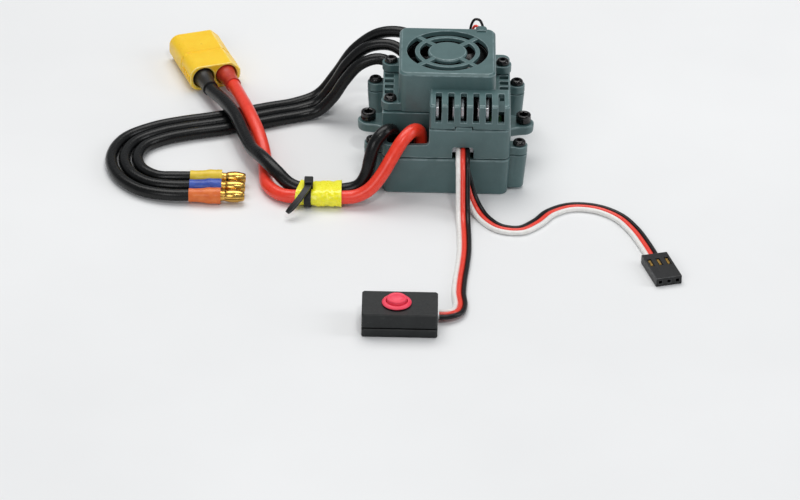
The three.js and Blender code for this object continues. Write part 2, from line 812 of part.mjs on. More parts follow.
function rodX(y, [x0, x1], radius, sides = 20) {
  const geometry = new THREE.CylinderGeometry(radius, radius, x1 - x0, sides);
  return geometry.rotateZ(-Math.PI / 2).translate((x0 + x1) / 2, y, 0);
}

// Round beyond the negative wire's cup, and chamfered beyond the positive one's.
function keyedSection(inset) {
  const w = plug.width / 2 - inset;
  const h = plug.height / 2 - inset;
  const key = plug.key - inset * 0.4;
  const round = plug.round - inset;
  const shape = new THREE.Shape();
  shape.moveTo(key - w, -h);
  shape.lineTo(w - round, -h);
  shape.absarc(w - round, round - h, round, -Math.PI / 2, 0);
  shape.absarc(w - round, h - round, round, 0, Math.PI / 2);
  shape.lineTo(key - w, h);
  shape.lineTo(-w, h - key);
  shape.lineTo(-w, key - h);
  return shape;
}

const plugBack = -plug.cupDepth; // the wires end at x = 0 of the plug's group
const plugFront = plugBack + plug.length;
const plugCups = [-1, 1].flatMap((side) => {
  const y = (side * plug.pitch) / 2;
  return [
    rodX(y, [plugBack - over, 2], plug.cup, 32),
    rodX(y, [1, plugFront], pin.radius + seamGap, 12),
  ];
});
piece(
  "power_plug",
  shaped(
    [sidePrism(keyedSection(0), [plugBack, plugFront])],
    [...plugCups, sidePrism(keyedSection(1.15), [plugFront - 8, plugFront + over])],
  ),
  yellowPlastic,
  plugGroup,
);
for (const [side, name] of [[-1, "red"], [1, "black"]]) {
  const y = (side * plug.pitch) / 2;
  const contact = rodX(y, [seamGap, plugFront - 1.4], pin.radius, 12);
  piece(`plug_contact_${name}`, contact, brass, plugGroup);
  const sleeve = tubeRing(batteryWire / 2 + seamGap, shrunk.radius, [0, shrunk.length], 12);
  sleeve.rotateY(Math.PI / 2).translate(-shrunk.back, y, 0);
  piece(`plug_sleeve_${name}`, sleeve, name === "red" ? shrinkRed : shrinkBlack, plugGroup);
}

// ---- motor leads with their bullet connectors ---------------------------------------
const motorRun = [
  [-44, 45.6, 1.95, 3.9],
  [-52, 42.4, 1.95, 3.9],
  [-60.5, 38.8, 1.95, 3.9],
  [-69, 35.6, 1.95, 3.9],
  [-77.5, 32.9, 1.95, 3.9],
  [-85.4, 29.4, 1.95, 3.9],
  [-92.4, 23.4, 1.95, 3.9],
  [-95, 14.6, 1.95, 3.9],
  [-92.8, 5.8, 1.95, 4.1],
  [-87, -0.2, 2, 4.7],
  [-80.4, -2.3, 2.4, 5.2],
  [-74, -2.4, 2.5, 5.2],
  [-68, -2.4, 2.5, 5.2],
];
const motorLeads = [
  {
    name: "left", share: 1, shrink: shrinkYellow,
    rise: [[-14.2, 42, wireStart], [-14.3, 42.1, 16], [-16.2, 42.8, 19.6], [-20.6, 43.2, 21.2],
      [-26, 43.2, 19], [-30.4, 43.1, 13.6], [-34, 43, 7.6], [-38.4, 42.8, 3]],
  },
  {
    name: "middle", share: 0, shrink: shrinkBlue,
    rise: [[-9.8, 42, wireStart], [-9.9, 42.2, 17], [-11.8, 44, 21.6], [-16.6, 46.6, 24],
      [-23.6, 47.8, 22.6], [-29.6, 47.9, 16.8], [-33.8, 47.8, 9.6], [-38.6, 47.2, 3.4]],
  },
  {
    name: "right", share: -1, shrink: shrinkOrange,
    rise: [[-5.4, 42, wireStart], [-5.5, 42.4, 18], [-7.2, 45, 23.4], [-12, 49.4, 26.4],
      [-20, 52, 25.2], [-27.6, 52.4, 19.4], [-33, 52.3, 11], [-38.6, 51.6, 3.8]],
  },
];
const bullet = { radius: 1.95, collar: 3, length: 5.4 };
for (const { name, share, shrink, rise } of motorLeads) {
  const run = beside(motorRun, share);
  cord(`motor_wire_${name}`, [...rise, ...run], motorWire, 30, blackRubber);
  const [x, behind, z] = run[run.length - 1];
  const end = endGroup(x, behind, z, 0);
  const sleeve = tubeRing(motorWire / 2 + seamGap, 2.4, [-7, 2.5], 12).rotateY(Math.PI / 2);
  piece(`motor_sleeve_${name}`, sleeve, shrink, end);
  const tip = bullet.collar + bullet.length;
  const profile = [
    [0, seamGap],
    [1.6, seamGap],
    [1.6, bullet.collar],
    [bullet.radius, bullet.collar + 0.4],
    [bullet.radius, tip],
    [1.1, tip + 1],
    [0, tip + 1],
  ];
  piece(`motor_bullet_${name}`, turned(profile, 12).rotateY(Math.PI / 2), brass, end);
}

// ---- receiver lead and its three-pin plug -------------------------------------------
const flatZ = ribbon.thick / 2 + 0.05;
const receiverRun = [
  [5, 0.9, 13.1], [5, -1.6, 13], [5, -3.8, 11.9], [6.2, -5.9, 8.4], [7.6, -7.8, 4.2],
  [9.5, -10.8, 1.5], [12, -15.4, flatZ], [16.2, -20, flatZ], [22, -20.8, flatZ], [27, -16.4, flatZ],
  [31, -10.6, flatZ], [37, -7, flatZ], [44.4, -7.6, flatZ], [50.6, -12, flatZ], [54.8, -19, flatZ],
  [57.8, -27, flatZ], [60.2, -35, flatZ],
];
flatCord("receiver_lead", receiverRun, 26);
const servoPlug = { width: 7.8, height: 2.7, length: 14 };
const receiverEnd = endGroup(60.2, -35, servoPlug.height / 2 + 0.02, Math.atan2(-8, 2.4));
const servoShell = shaped(
  [
    cuboid(
      [seamGap, servoPlug.length],
      [-servoPlug.width / 2, servoPlug.width / 2],
      [-servoPlug.height / 2, servoPlug.height / 2],
    ),
  ],
  [-2.54, 0, 2.54].map((y) =>
    cuboid([servoPlug.length - 7, servoPlug.length + over], [y - 0.45, y + 0.45], [-0.45, 0.45])),
);
piece("receiver_plug", servoShell, blackPlastic, receiverEnd);

// ---- switch lead and switch ---------------------------------------------------------
const switchBox = { left: -23.2, right: -1.8, front: -79.5, rear: -66.5, seam: 2.6, top: 7.4 };
const switchRun = [
  [5, 0.9, 14.9], [5, -2, 14.9], [5, -5.2, 14.2], [5.1, -8, 11.6], [5.2, -10.6, 7.2],
  [5.3, -13.8, 3], [5.5, -18.4, 1], [5.7, -25, flatZ], [5.7, -33, flatZ], [5.2, -41, flatZ],
  [4.5, -49, flatZ], [4.2, -56.5, flatZ], [4.6, -63, flatZ + 0.3], [3.6, -67.6, 1.6], [0.9, -69.6, 1.9],
  [-1.4, -69.8, 1.9],
];
flatCord("switch_lead", switchRun, 24);

const switchX = [switchBox.left, switchBox.right];
const switchY = [fromFront(switchBox.front), fromFront(switchBox.rear)];
const buttonAt = { x: -13.4, behind: -73.2 };
const button = { bore: 3.1, dome: 2.75, rim: 4.2, travel: 0.8 };
const switchFloor = prism(roundedRectangle(switchX, switchY, 0.8), [0, switchBox.seam], 0.25, 3);
const switchHollow = prism(
  roundedRectangle(
    [switchX[0] + 1.2, switchX[1] - 1.2],
    [switchY[0] + 1.2, switchY[1] - 1.2],
    0.4,
  ),
  [1.1, 6.1],
  0,
  3,
);
piece("switch_base", shaped([switchFloor], [switchHollow]), blackPlastic);
const switchShell = prism(
  roundedRectangle(switchX, switchY, 0.8),
  [switchBox.seam + seamGap, switchBox.top],
  0.3,
  3,
);
const buttonY = fromFront(buttonAt.behind);
piece(
  "switch_cover",
  shaped([switchShell], [switchHollow, rod(buttonAt.x, buttonY, [5, 9], button.bore, 20)]),
  blackPlastic,
);
piece(
  "switch_bezel",
  turned(
    [[button.bore, switchBox.top + seamGap], [button.rim, switchBox.top + seamGap],
      [button.rim, switchBox.top + 0.75], [button.rim - 0.35, switchBox.top + 1.1],
      [button.bore, switchBox.top + 1.1], [button.bore, switchBox.top + seamGap]],
    20,
  ).translate(buttonAt.x, buttonY, 0),
  buttonRubber,
);
const domeTop = switchBox.top + 2.2;
piece(
  "switch_button",
  turned(
    [[0, 5.1], [1.2, 5.1], [1.2, 6.2], [button.dome, 6.2], [button.dome, domeTop - 0.7],
      [button.dome - 0.25, domeTop - 0.25], [button.dome - 0.9, domeTop], [0, domeTop]],
    20,
  ).translate(buttonAt.x, buttonY, 0),
  buttonRubber,
);
const tactHigh = 5.1 - button.travel - 0.2;
const tactSwitch = shaped([
  cuboid([buttonAt.x - 3, buttonAt.x + 3], [buttonY - 3, buttonY + 3], [1.4, 3.6]),
  rod(buttonAt.x, buttonY, [3, tactHigh], 1.6, 10),
]);
piece("switch_contact", tactSwitch, blackPlastic);

// ---- fan leads ----------------------------------------------------------------------
cord(
  "fan_lead_black",
  [[10.6, 35.3, 34.2], [10.6, 38.1, 34.2], [10.3, 39.8, 35.2], [9.4, 41, 36.3], [8, 41.4, 36.2],
    [7, 41.5, 34.2], [6.7, 41.6, 30], [6.6, 41.6, 25], [6.6, 41.6, 20.9]],
  fanWire, 14, blackRubber, 6,
);
cord(
  "fan_lead_red",
  [[9.5, 35.3, 34.2], [9.5, 38.1, 34.2], [9.1, 39.1, 34.8], [8.4, 39.7, 35], [7.7, 40.2, 34.2],
    [7.6, 40.6, 31], [7.8, 41, 27.5], [7.8, 41.4, 24], [7.8, 41.6, 20.9]],
  fanWire, 14, redRubber, 6,
);

export default group;
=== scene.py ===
import math
import bmesh
import bpy
from mathutils import Matrix, Vector


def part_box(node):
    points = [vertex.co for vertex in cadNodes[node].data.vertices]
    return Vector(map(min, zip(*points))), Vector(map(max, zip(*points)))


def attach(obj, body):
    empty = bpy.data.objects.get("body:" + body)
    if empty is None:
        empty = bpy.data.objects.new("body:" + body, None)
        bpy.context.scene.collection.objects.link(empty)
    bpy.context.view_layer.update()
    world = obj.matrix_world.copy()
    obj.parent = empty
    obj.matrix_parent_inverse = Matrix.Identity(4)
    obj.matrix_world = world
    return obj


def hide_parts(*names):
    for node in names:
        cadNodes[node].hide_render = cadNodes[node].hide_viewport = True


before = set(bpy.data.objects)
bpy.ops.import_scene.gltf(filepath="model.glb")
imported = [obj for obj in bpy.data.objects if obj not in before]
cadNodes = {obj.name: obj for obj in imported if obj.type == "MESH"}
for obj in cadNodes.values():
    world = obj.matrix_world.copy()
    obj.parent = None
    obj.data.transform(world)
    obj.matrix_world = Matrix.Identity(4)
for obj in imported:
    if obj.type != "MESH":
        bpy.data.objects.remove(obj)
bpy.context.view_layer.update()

# Pieces are modelled in millimetres, X to the right, Y counted back from the case's front face
mm = 0.001
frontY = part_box("middle_case")[0].y
benchToWorld = Matrix.Translation((0, frontY, 0)) @ Matrix.Scale(mm, 4)
worldToBench = benchToWorld.inverted()


def span(node):
    low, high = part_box(node)
    return worldToBench @ low, worldToBench @ high


def middle(node):
    low, high = span(node)
    return (low + high) / 2


# ---- camera: a long lens, a little over 30 degrees above the table
view = {
    "aim": (-12.8, -32, 0),
    "distance": 1430,
    "elevation": 31.2,
    "roll": 1.2,
    "lens": 223,
}


def makeCamera():
    data = bpy.data.cameras.new("benchCamera")
    data.lens = view["lens"]
    data.sensor_width = 36
    data.clip_start = 0.05
    data.clip_end = 20
    camera = bpy.data.objects.new("benchCamera", data)
    bpy.context.scene.collection.objects.link(camera)
    tilt = math.radians(view["elevation"])
    away = Vector((0, -math.cos(tilt), math.sin(tilt)))
    place = benchToWorld @ (Vector(view["aim"]) + away * view["distance"])
    turn = Matrix.Rotation(math.pi / 2 - tilt, 4, "X")
    roll = Matrix.Rotation(math.radians(view["roll"]), 4, "Z")
    camera.matrix_world = Matrix.Translation(place) @ turn @ roll
    bpy.context.scene.camera = camera


makeCamera()
print("camera placed")


# ---- finishes: each is a small node tree on Object coordinates, or on the cord's own UV
def paint(red, green, blue):
    def linear(value):
        value /= 255
        return value / 12.92 if value <= 0.04045 else ((value + 0.055) / 1.055) ** 2.4
    return (linear(red), linear(green), linear(blue), 1)


def addNode(tree, kind, values=None, **settings):
    node = tree.nodes.new(kind)
    for key, value in settings.items():
        setattr(node, key, value)
    for key, value in (values or {}).items():
        node.inputs[key].default_value = value
    return node


def cloud(tree, place, scale, detail=3.0, warp=0.0):
    values = {"Scale": scale, "Detail": detail, "Roughness": 0.55, "Distortion": warp}
    node = addNode(tree, "ShaderNodeTexNoise", values)
    tree.links.new(place, node.inputs["Vector"])
    return node.outputs["Fac"]


def ramp(tree, amount, low, high, first=(0, 0, 0, 1), last=(1, 1, 1, 1)):
    node = addNode(tree, "ShaderNodeValToRGB")
    node.color_ramp.elements[0].position = low
    node.color_ramp.elements[1].position = high
    node.color_ramp.elements[0].color = first
    node.color_ramp.elements[1].color = last
    tree.links.new(amount, node.inputs["Fac"])
    return node.outputs["Color"]


def blend(tree, amount, first, second):
    node = addNode(tree, "ShaderNodeMix", data_type="RGBA")
    tree.links.new(amount, node.inputs[0])
    for place, colour in ((6, first), (7, second)):
        if isinstance(colour, tuple):
            node.inputs[place].default_value = colour
        else:
            tree.links.new(colour, node.inputs[place])
    return node.outputs[2]


def multiply(tree, first, second):
    node = addNode(tree, "ShaderNodeMath", operation="MULTIPLY")
    tree.links.new(first, node.inputs[0])
    tree.links.new(second, node.inputs[1])
    return node.outputs[0]


def addBump(tree, shader, height, strength, depth):
    node = addNode(tree, "ShaderNodeBump", {"Strength": strength, "Distance": depth * mm})
    tree.links.new(height, node.inputs["Height"])
    if shader.inputs["Normal"].is_linked:
        tree.links.new(shader.inputs["Normal"].links[0].from_socket, node.inputs["Normal"])
    tree.links.new(node.outputs["Normal"], shader.inputs["Normal"])


# colour and tone are mottled together; gloss is the roughness span; grain is a fine relief
def makeFinish(name, look):
    material = bpy.data.materials.new(name)
    material.use_nodes = True
    tree = material.node_tree
    link = tree.links.new
    shader = tree.nodes["Principled BSDF"]
    source = addNode(tree, "ShaderNodeTexCoord")
    place = addNode(tree, "ShaderNodeMapping", {"Scale": look.get("stretch", (1, 1, 1))})
    link(source.outputs[look.get("on", "Object")], place.inputs["Vector"])
    where = place.outputs["Vector"]
    body = ramp(tree, cloud(tree, where, look["blotch"], 4), 0.36, 0.64, look["colour"], look["tone"])
    if "dust" in look:
        specks = ramp(tree, cloud(tree, where, look["dustScale"], 2), 0.66, 0.74)
        body = blend(tree, multiply(tree, specks, cloud(tree, where, look["blotch"], 2)), body, look["dust"])
    # softened edges are lightened with this colour, broken up in patches: partly edge wear, partly a painted
    # highlight where the rounded edges catch the light
    if "wornAndHighlight" in look:
        edge = addNode(tree, "ShaderNodeAttribute", attribute_name="wearAndHighlight").outputs["Fac"]
        patchy = ramp(tree, cloud(tree, where, look.get("wornAndHighlightScale", 700), 3), 0.3, 0.62)
        body = blend(tree, multiply(tree, edge, patchy), body, look["wornAndHighlight"])
    link(body, shader.inputs["Base Color"])
    low, high = look["gloss"]
    spread = addNode(tree, "ShaderNodeMapRange", {1: 0.3, 2: 0.7, 3: low, 4: high})
    link(cloud(tree, where, look.get("glossScale", look["blotch"] * 5), 3), spread.inputs[0])
    link(spread.outputs[0], shader.inputs["Roughness"])
    if "ripple" in look:
        scale, strength, depth = look["ripple"]
        addBump(tree, shader, cloud(tree, where, scale, 2), strength, depth)
    scale, strength, depth = look["grain"]
    addBump(tree, shader, cloud(tree, where, scale, 2), strength, depth)
    shader.inputs["Metallic"].default_value = look.get("metal", 0)
    shader.inputs["Coat Weight"].default_value = look.get("coat", 0)
    shader.inputs["Coat Roughness"].default_value = look.get("coatRoughness", 0.1)
    shader.inputs["Specular IOR Level"].default_value = look.get("shine", 0.5)
    shader.inputs["Subsurface Weight"].default_value = look.get("glow", 0)
    shader.inputs["Subsurface Radius"].default_value = (0.6 * mm, 0.3 * mm, 0.2 * mm)
    shader.inputs["Subsurface Scale"].default_value = 1
    return material


def cordLook(colour, tone, **changes):
    look = {
        "on": "UV", "stretch": (1, 0.12, 1), "colour": colour, "tone": tone, "blotch": 5,
        "dust": paint(226, 120, 104), "dustScale": 60, "gloss": (0.26, 0.42), "glossScale": 14,
        "grain": (90, 0.12, 0.02), "ripple": (3, 0.15, 0.12), "coat": 0.25, "coatRoughness": 0.3,
    }
    look.update(changes)
    return look


def shrinkLook(colour, tone):
    return {
        "colour": colour, "tone": tone, "blotch": 400, "gloss": (0.34, 0.5), "coat": 0.15,
        "ripple": (700, 0.35, 0.12), "grain": (4000, 0.12, 0.02), "wornAndHighlight": tone,
    }


looks = {
    "housing": {
        "colour": paint(72, 98, 99), "tone": paint(79, 106, 107), "blotch": 160,
        "gloss": (0.3, 0.42), "glossScale": 1500, "grain": (5200, 0.16, 0.03),
        # the lighter edge colour is partly edge wear, partly a painted highlight on the rounded edges
        "ripple": (240, 0.05, 0.1), "wornAndHighlight": paint(118, 140, 142), "wornAndHighlightScale": 420, "shine": 0.55,
        "dust": paint(96, 116, 118), "dustScale": 2400,
    },
    "redSilicone": cordLook(paint(238, 52, 28), paint(244, 64, 40), glow=0.08),
    "blackSilicone": cordLook(
        paint(7, 8, 9), paint(13, 14, 15), dust=paint(60, 60, 60), gloss=(0.24, 0.34), shine=0.32, coat=0),
    "whiteCore": cordLook(paint(238, 237, 234), paint(229, 227, 223), dust=paint(200, 196, 190)),
    "redCore": cordLook(paint(232, 56, 38), paint(238, 68, 50), dust=paint(210, 120, 108)),
    "blackCore": cordLook(paint(10, 10, 12), paint(18, 18, 20), dust=paint(60, 60, 60), shine=0.35, coat=0),
    "tagFilm": {
        "colour": paint(252, 240, 16), "tone": paint(254, 246, 48), "blotch": 300,
        "gloss": (0.22, 0.36), "grain": (3000, 0.1, 0.02), "ripple": (520, 0.5, 0.35),
        "coat": 0.4, "wornAndHighlight": paint(250, 246, 190), "glow": 0.1,
    },
    "tagEdge": {
        "colour": paint(246, 240, 196), "tone": paint(238, 228, 160), "blotch": 900,
        "gloss": (0.4, 0.5), "grain": (4000, 0.2, 0.03),
    },
    "plugNylon": {
        "colour": paint(250, 200, 30), "tone": paint(252, 208, 46), "blotch": 180,
        "gloss": (0.28, 0.4), "grain": (3600, 0.14, 0.02), "wornAndHighlight": paint(254, 226, 130),
        "glow": 0.15, "ripple": (200, 0.06, 0.1), "dust": paint(214, 168, 52), "dustScale": 900,
    },
    "blackNylon": {
        "colour": paint(12, 13, 14), "tone": paint(19, 20, 21), "blotch": 300, "shine": 0.4,
        "gloss": (0.34, 0.5), "grain": (5000, 0.25, 0.03), "wornAndHighlight": paint(64, 66, 68),
        "dust": paint(52, 52, 52), "dustScale": 1500,
    },
    "fanPlastic": {
        "colour": paint(14, 15, 16), "tone": paint(22, 23, 24), "blotch": 260,
        "gloss": (0.22, 0.34), "grain": (4200, 0.1, 0.02), "wornAndHighlight": paint(52, 54, 56),
        "dust": paint(120, 118, 112), "dustScale": 1700,
    },
    "switchPlastic": {
        "colour": paint(20, 23, 24), "tone": paint(28, 31, 32), "blotch": 220, "shine": 0.4,
        # the lighter edge colour is partly edge wear, partly a painted highlight on the rounded edges
        "gloss": (0.4, 0.54), "grain": (2600, 0.42, 0.05), "wornAndHighlight": paint(112, 114, 116),
        "dust": paint(58, 60, 60), "dustScale": 1200,
    },
    "buttonRubber": {
        "colour": paint(240, 58, 84), "tone": paint(246, 74, 100), "blotch": 420,
        "gloss": (0.42, 0.54), "grain": (3800, 0.2, 0.03), "wornAndHighlight": paint(250, 132, 150),
        "glow": 0.12,
    },
    "blackSteel": {
        "colour": paint(24, 24, 25), "tone": paint(38, 37, 37), "blotch": 900, "metal": 0.6,
        "gloss": (0.1, 0.2), "grain": (6000, 0.1, 0.02), "wornAndHighlight": paint(128, 124, 120), "coat": 0.3,
    },
    "brightSteel": {
        "colour": paint(176, 177, 180), "tone": paint(196, 197, 200), "blotch": 800, "metal": 1,
        "gloss": (0.18, 0.3), "grain": (5000, 0.1, 0.01), "stretch": (1, 1, 0.1),
    },
    "gold": {
        "colour": paint(214, 166, 78), "tone": paint(226, 182, 98), "blotch": 700, "metal": 1,
        "gloss": (0.16, 0.3), "grain": (4800, 0.12, 0.01), "wornAndHighlight": paint(244, 214, 150),
    },
    "tin": {
        "colour": paint(176, 176, 174), "tone": paint(204, 204, 202), "blotch": 900, "metal": 0.9,
        "gloss": (0.22, 0.4), "grain": (2600, 0.3, 0.06),
    },
    "milledAluminium": {
        "colour": paint(150, 152, 156), "tone": paint(192, 194, 198), "blotch": 500, "metal": 1,
        "gloss": (0.22, 0.38), "grain": (3000, 0.3, 0.04), "stretch": (1, 0.3, 1),
        "wornAndHighlight": paint(226, 227, 230),
    },
    "canAluminium": {
        "colour": paint(186, 188, 190), "tone": paint(206, 208, 210), "blotch": 700, "metal": 0.95,
        "gloss": (0.2, 0.34), "grain": (4200, 0.2, 0.02), "wornAndHighlight": paint(232, 233, 234),
    },
    "canSleeve": {
        "colour": paint(18, 18, 24), "tone": paint(28, 28, 36), "blotch": 500,
        "gloss": (0.24, 0.36), "grain": (3600, 0.12, 0.02), "coat": 0.3,
    },
    "padSilicone": {
        "colour": paint(150, 154, 158), "tone": paint(164, 168, 171), "blotch": 500,
        "gloss": (0.6, 0.75), "grain": (2400, 0.4, 0.05),
    },
    "chipResin": {
        "colour": paint(22, 22, 24), "tone": paint(30, 30, 32), "blotch": 500,
        "gloss": (0.45, 0.6), "grain": (3000, 0.3, 0.03),
    },
    "coilCopper": {
        "colour": paint(176, 98, 54), "tone": paint(198, 120, 72), "blotch": 900, "metal": 1,
        "gloss": (0.22, 0.36), "grain": (3800, 0.6, 0.08), "stretch": (0.3, 0.3, 2),
    },
    "shrinkBlack": shrinkLook(paint(20, 20, 21), paint(34, 34, 35)),
    "shrinkRed": shrinkLook(paint(176, 40, 28), paint(198, 62, 46)),
    "shrinkYellow": shrinkLook(paint(224, 188, 20), paint(236, 204, 52)),
    "shrinkBlue": shrinkLook(paint(30, 62, 158), paint(48, 84, 180)),
    "shrinkOrange": shrinkLook(paint(214, 96, 22), paint(228, 118, 46)),
}
finishes = {name: makeFinish(name, look) for name, look in looks.items()}


# Solder mask over copper tracks: a square weave of bands with tinned pads between
def makeBoardFinish():
    look = {
        "colour": paint(18, 62, 40), "tone": paint(26, 76, 50), "blotch": 240,
        "gloss": (0.26, 0.4), "grain": (3000, 0.12, 0.02), "coat": 0.3,
    }
    material = makeFinish("boardMask", look)
    tree = material.node_tree
    shader = tree.nodes["Principled BSDF"]
    body = shader.inputs["Base Color"].links[0].from_socket
    source = next(node for node in tree.nodes if node.type == "TEX_COORD").outputs["Object"]
    tracks = addNode(tree, "ShaderNodeTexBrick", {"Scale": 300, "Mortar Size": 0.08, "Mortar Smooth": 0.1})
    tree.links.new(source, tracks.inputs["Vector"])
    traced = blend(tree, tracks.outputs["Fac"], body, paint(70, 128, 74))
    pads = addNode(tree, "ShaderNodeTexVoronoi", {"Scale": 420, "Randomness": 0.6})
    tree.links.new(source, pads.inputs["Vector"])
    dots = ramp(tree, pads.outputs["Distance"], 0.2, 0.24, (1, 1, 1, 1), (0, 0, 0, 1))
    tree.links.new(blend(tree, dots, traced, paint(196, 190, 176)), shader.inputs["Base Color"])
    return material


finishes["boardMask"] = makeBoardFinish()
print("finishes mixed:", len(finishes))


# ---- making and placing pieces
# Flats shade as flats, and a softened edge turns evenly from one flat to the next
def cornerDirections(shape, sharp):
    shape.normal_update()
    wearAndHighlight = shape.faces.layers.float["wearAndHighlight"]
    limit = math.cos(math.radians(sharp))
    weights = {face: face.normal * face.calc_area() ** 2 for face in shape.faces}
    directions = []
    for face in shape.faces:
        for loop in face.loops:
            near = [other for other in loop.vert.link_faces if other.normal.dot(face.normal) > limit]
            flats = [other for other in near if other[wearAndHighlight] < 0.5] or near or [face]
            directions.append(sum((weights[other] for other in flats), Vector()).normalized())
    return directions


def finishPiece(name, shape, coats, replaces=(), body="case", sharp=40, even=False):
    bmesh.ops.transform(shape, matrix=benchToWorld, verts=shape.verts)
    mesh = bpy.data.meshes.new(name)
    directions = cornerDirections(shape, sharp) if even else None
    shape.to_mesh(mesh)
    shape.free()
    for coat in [coats] if isinstance(coats, str) else coats:
        mesh.materials.append(finishes[coat])
    mesh.shade_smooth()
    mesh.set_sharp_from_angle(angle=math.radians(sharp))
    if even:
        mesh.normals_split_custom_set(directions)
    piece = bpy.data.objects.new(name, mesh)
    bpy.context.scene.collection.objects.link(piece)
    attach(piece, body)
    if replaces:
        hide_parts(*([replaces] if isinstance(replaces, str) else replaces))
    return piece


def softenEdges(shape, width, steps=2, over=31, leave=None):
    wearAndHighlight = shape.faces.layers.float.get("wearAndHighlight") or shape.faces.layers.float.new("wearAndHighlight")
    edges = [
        edge for edge in shape.edges
        if edge.is_manifold and edge.is_convex and edge.calc_face_angle() > math.radians(over)
        and not (leave and leave(edge))
    ]
    made = bmesh.ops.bevel(
        shape, geom=edges, offset=width, offset_type="OFFSET", segments=steps, profile=0.5,
        affect="EDGES", clamp_overlap=False, material=-1)
    # the bevel faces are marked for the lighter edge colour, which is partly wear and partly a painted highlight
    for face in made["faces"]:
        face[wearAndHighlight] = 1


# A merged copy of a CAD node, its flats tidied, ready to have its edges softened
def benchCopy(node, weld=0.02):
    shape = bmesh.new()
    shape.from_mesh(cadNodes[node].data)
    bmesh.ops.transform(shape, matrix=worldToBench, verts=shape.verts)
    bmesh.ops.remove_doubles(shape, verts=shape.verts, dist=weld)
    flat = math.radians(0.8)
    bmesh.ops.dissolve_limit(shape, angle_limit=flat, verts=shape.verts, edges=shape.edges)
    wide = [face for face in shape.faces if len(face.verts) > 4]
    bmesh.ops.triangulate(shape, faces=wide, ngon_method="BEAUTY")
    bmesh.ops.recalc_face_normals(shape, faces=shape.faces)
    return shape


# A profile of (radius, height) points spun round the vertical axis
def spun(profile, steps=48):
    shape = bmesh.new()
    corners = [shape.verts.new((radius, 0, height)) for radius, height in profile]
    for first, second in zip(corners, corners[1:]):
        shape.edges.new((first, second))
    bmesh.ops.spin(
        shape, geom=shape.verts[:] + shape.edges[:], cent=(0, 0, 0), axis=(0, 0, 1),
        angle=2 * math.pi, steps=steps, use_merge=True)
    bmesh.ops.remove_doubles(shape, verts=shape.verts, dist=1e-3)
    bmesh.ops.recalc_face_normals(shape, faces=shape.faces)
    return shape


def moveShape(shape, matrix):
    bmesh.ops.transform(shape, matrix=matrix, verts=shape.verts)
    return shape


# Adds one shape to another, with its faces in material slot number coat
def joinShape(shape, other, coat=0):
    mesh = bpy.data.meshes.new("joining")
    for face in other.faces:
        face.material_index = coat
    other.to_mesh(mesh)
    other.free()
    shape.from_mesh(mesh)
    bpy.data.meshes.remove(mesh)
    return shape


def roundedBox(low, high, radius, steps=3):
    shape = bmesh.new()
    size = Vector(high) - Vector(low)
    centre = (Vector(high) + Vector(low)) / 2
    bmesh.ops.create_cube(shape, size=1)
    bmesh.ops.scale(shape, vec=size, verts=shape.verts)
    bmesh.ops.bevel(
        shape, geom=shape.edges[:], offset=radius, offset_type="OFFSET", segments=steps,
        profile=0.5, affect="EDGES", material=-1)
    bmesh.ops.translate(shape, vec=centre, verts=shape.verts)
    return shape


# ---- cords: the routes are [x, behind the front face, z], in the order that the wire runs
def evenRoute(route, step):
    knots = [Vector(point[:3]) for point in route]
    ends = [2 * knots[0] - knots[1], *knots, 2 * knots[-1] - knots[-2]]
    fine = []
    parts = 24
    for a, b, c, d in zip(ends, ends[1:], ends[2:], ends[3:]):
        ab, bc, cd = (b - a).length ** 0.5, (c - b).length ** 0.5, (d - c).length ** 0.5
        leave = ((b - a) / ab - (c - a) / (ab + bc) + (c - b) / bc) * bc
        arrive = ((c - b) / bc - (d - b) / (bc + cd) + (d - c) / cd) * bc
        for i in range(parts):
            t = i / parts
            place = b * (2 * t**3 - 3 * t**2 + 1) + leave * (t**3 - 2 * t**2 + t)
            fine.append(place + c * (3 * t**2 - 2 * t**3) + arrive * (t**3 - t**2))
    fine.append(knots[-1])
    total = sum((second - first).length for first, second in zip(fine, fine[1:]))
    count = round(total / step)
    even = [fine[0]]
    walked = 0.0
    for first, second in zip(fine, fine[1:]):
        gap = (second - first).length
        while len(even) < count and walked + gap >= total * len(even) / count:
            share = (total * len(even) / count - walked) / gap
            even.append(first.lerp(second, share))
        walked += gap
    return even + [fine[-1]]


def routeLength(points):
    return sum((second - first).length for first, second in zip(points, points[1:]))


# The same floor run for a neighbour, moved aside by share times each point's spread; a point's
# fifth number is how far the pair has rolled over itself there, in half turns
def beside(run, share):
    moved = []
    for i, (x, behind, z, spread, *rolled) in enumerate(run):
        before, after = run[max(0, i - 1)], run[min(len(run) - 1, i + 1)]
        along = math.hypot(after[0] - before[0], after[1] - before[1])
        turn = math.pi * sum(rolled)
        aside = share * spread * math.cos(turn) / along
        drop = share * spread * math.sin(turn)
        moved.append((x - aside * (after[1] - before[1]), behind + aside * (after[0] - before[0]), z - drop))
    return moved


# Where the section stands at each point: X across, Y up, Z along, all grown by that point's size
def sectionFrames(points, level=False, sizes=None):
    frames = []
    side = None
    for i, point in enumerate(points):
        along = (points[min(i + 1, len(points) - 1)] - points[max(i - 1, 0)]).normalized()
        if level:
            side = Vector((-along.y, along.x, 0)).normalized()
        elif side is None:
            side = along.orthogonal().normalized()
        else:
            side = (side - along * side.dot(along)).normalized()
        turn = Matrix((side, along.cross(side), along)).transposed().to_4x4()
        frames.append(Matrix.Translation(point) @ turn @ Matrix.Scale(sizes[i] if sizes else 1, 4))
    return frames


def pullEdges(shape, edges):
    made = bmesh.ops.extrude_edge_only(shape, edges=edges)["geom"]
    fresh = {item for item in made if isinstance(item, bmesh.types.BMVert)}
    edges = [
        item for item in made
        if isinstance(item, bmesh.types.BMEdge) and all(corner in fresh for corner in item.verts)
    ]
    return edges, fresh


def cordShape():
    shape = bmesh.new()
    shape.verts.layers.int.new("around")
    shape.loops.layers.uv.new("UVMap")
    return shape


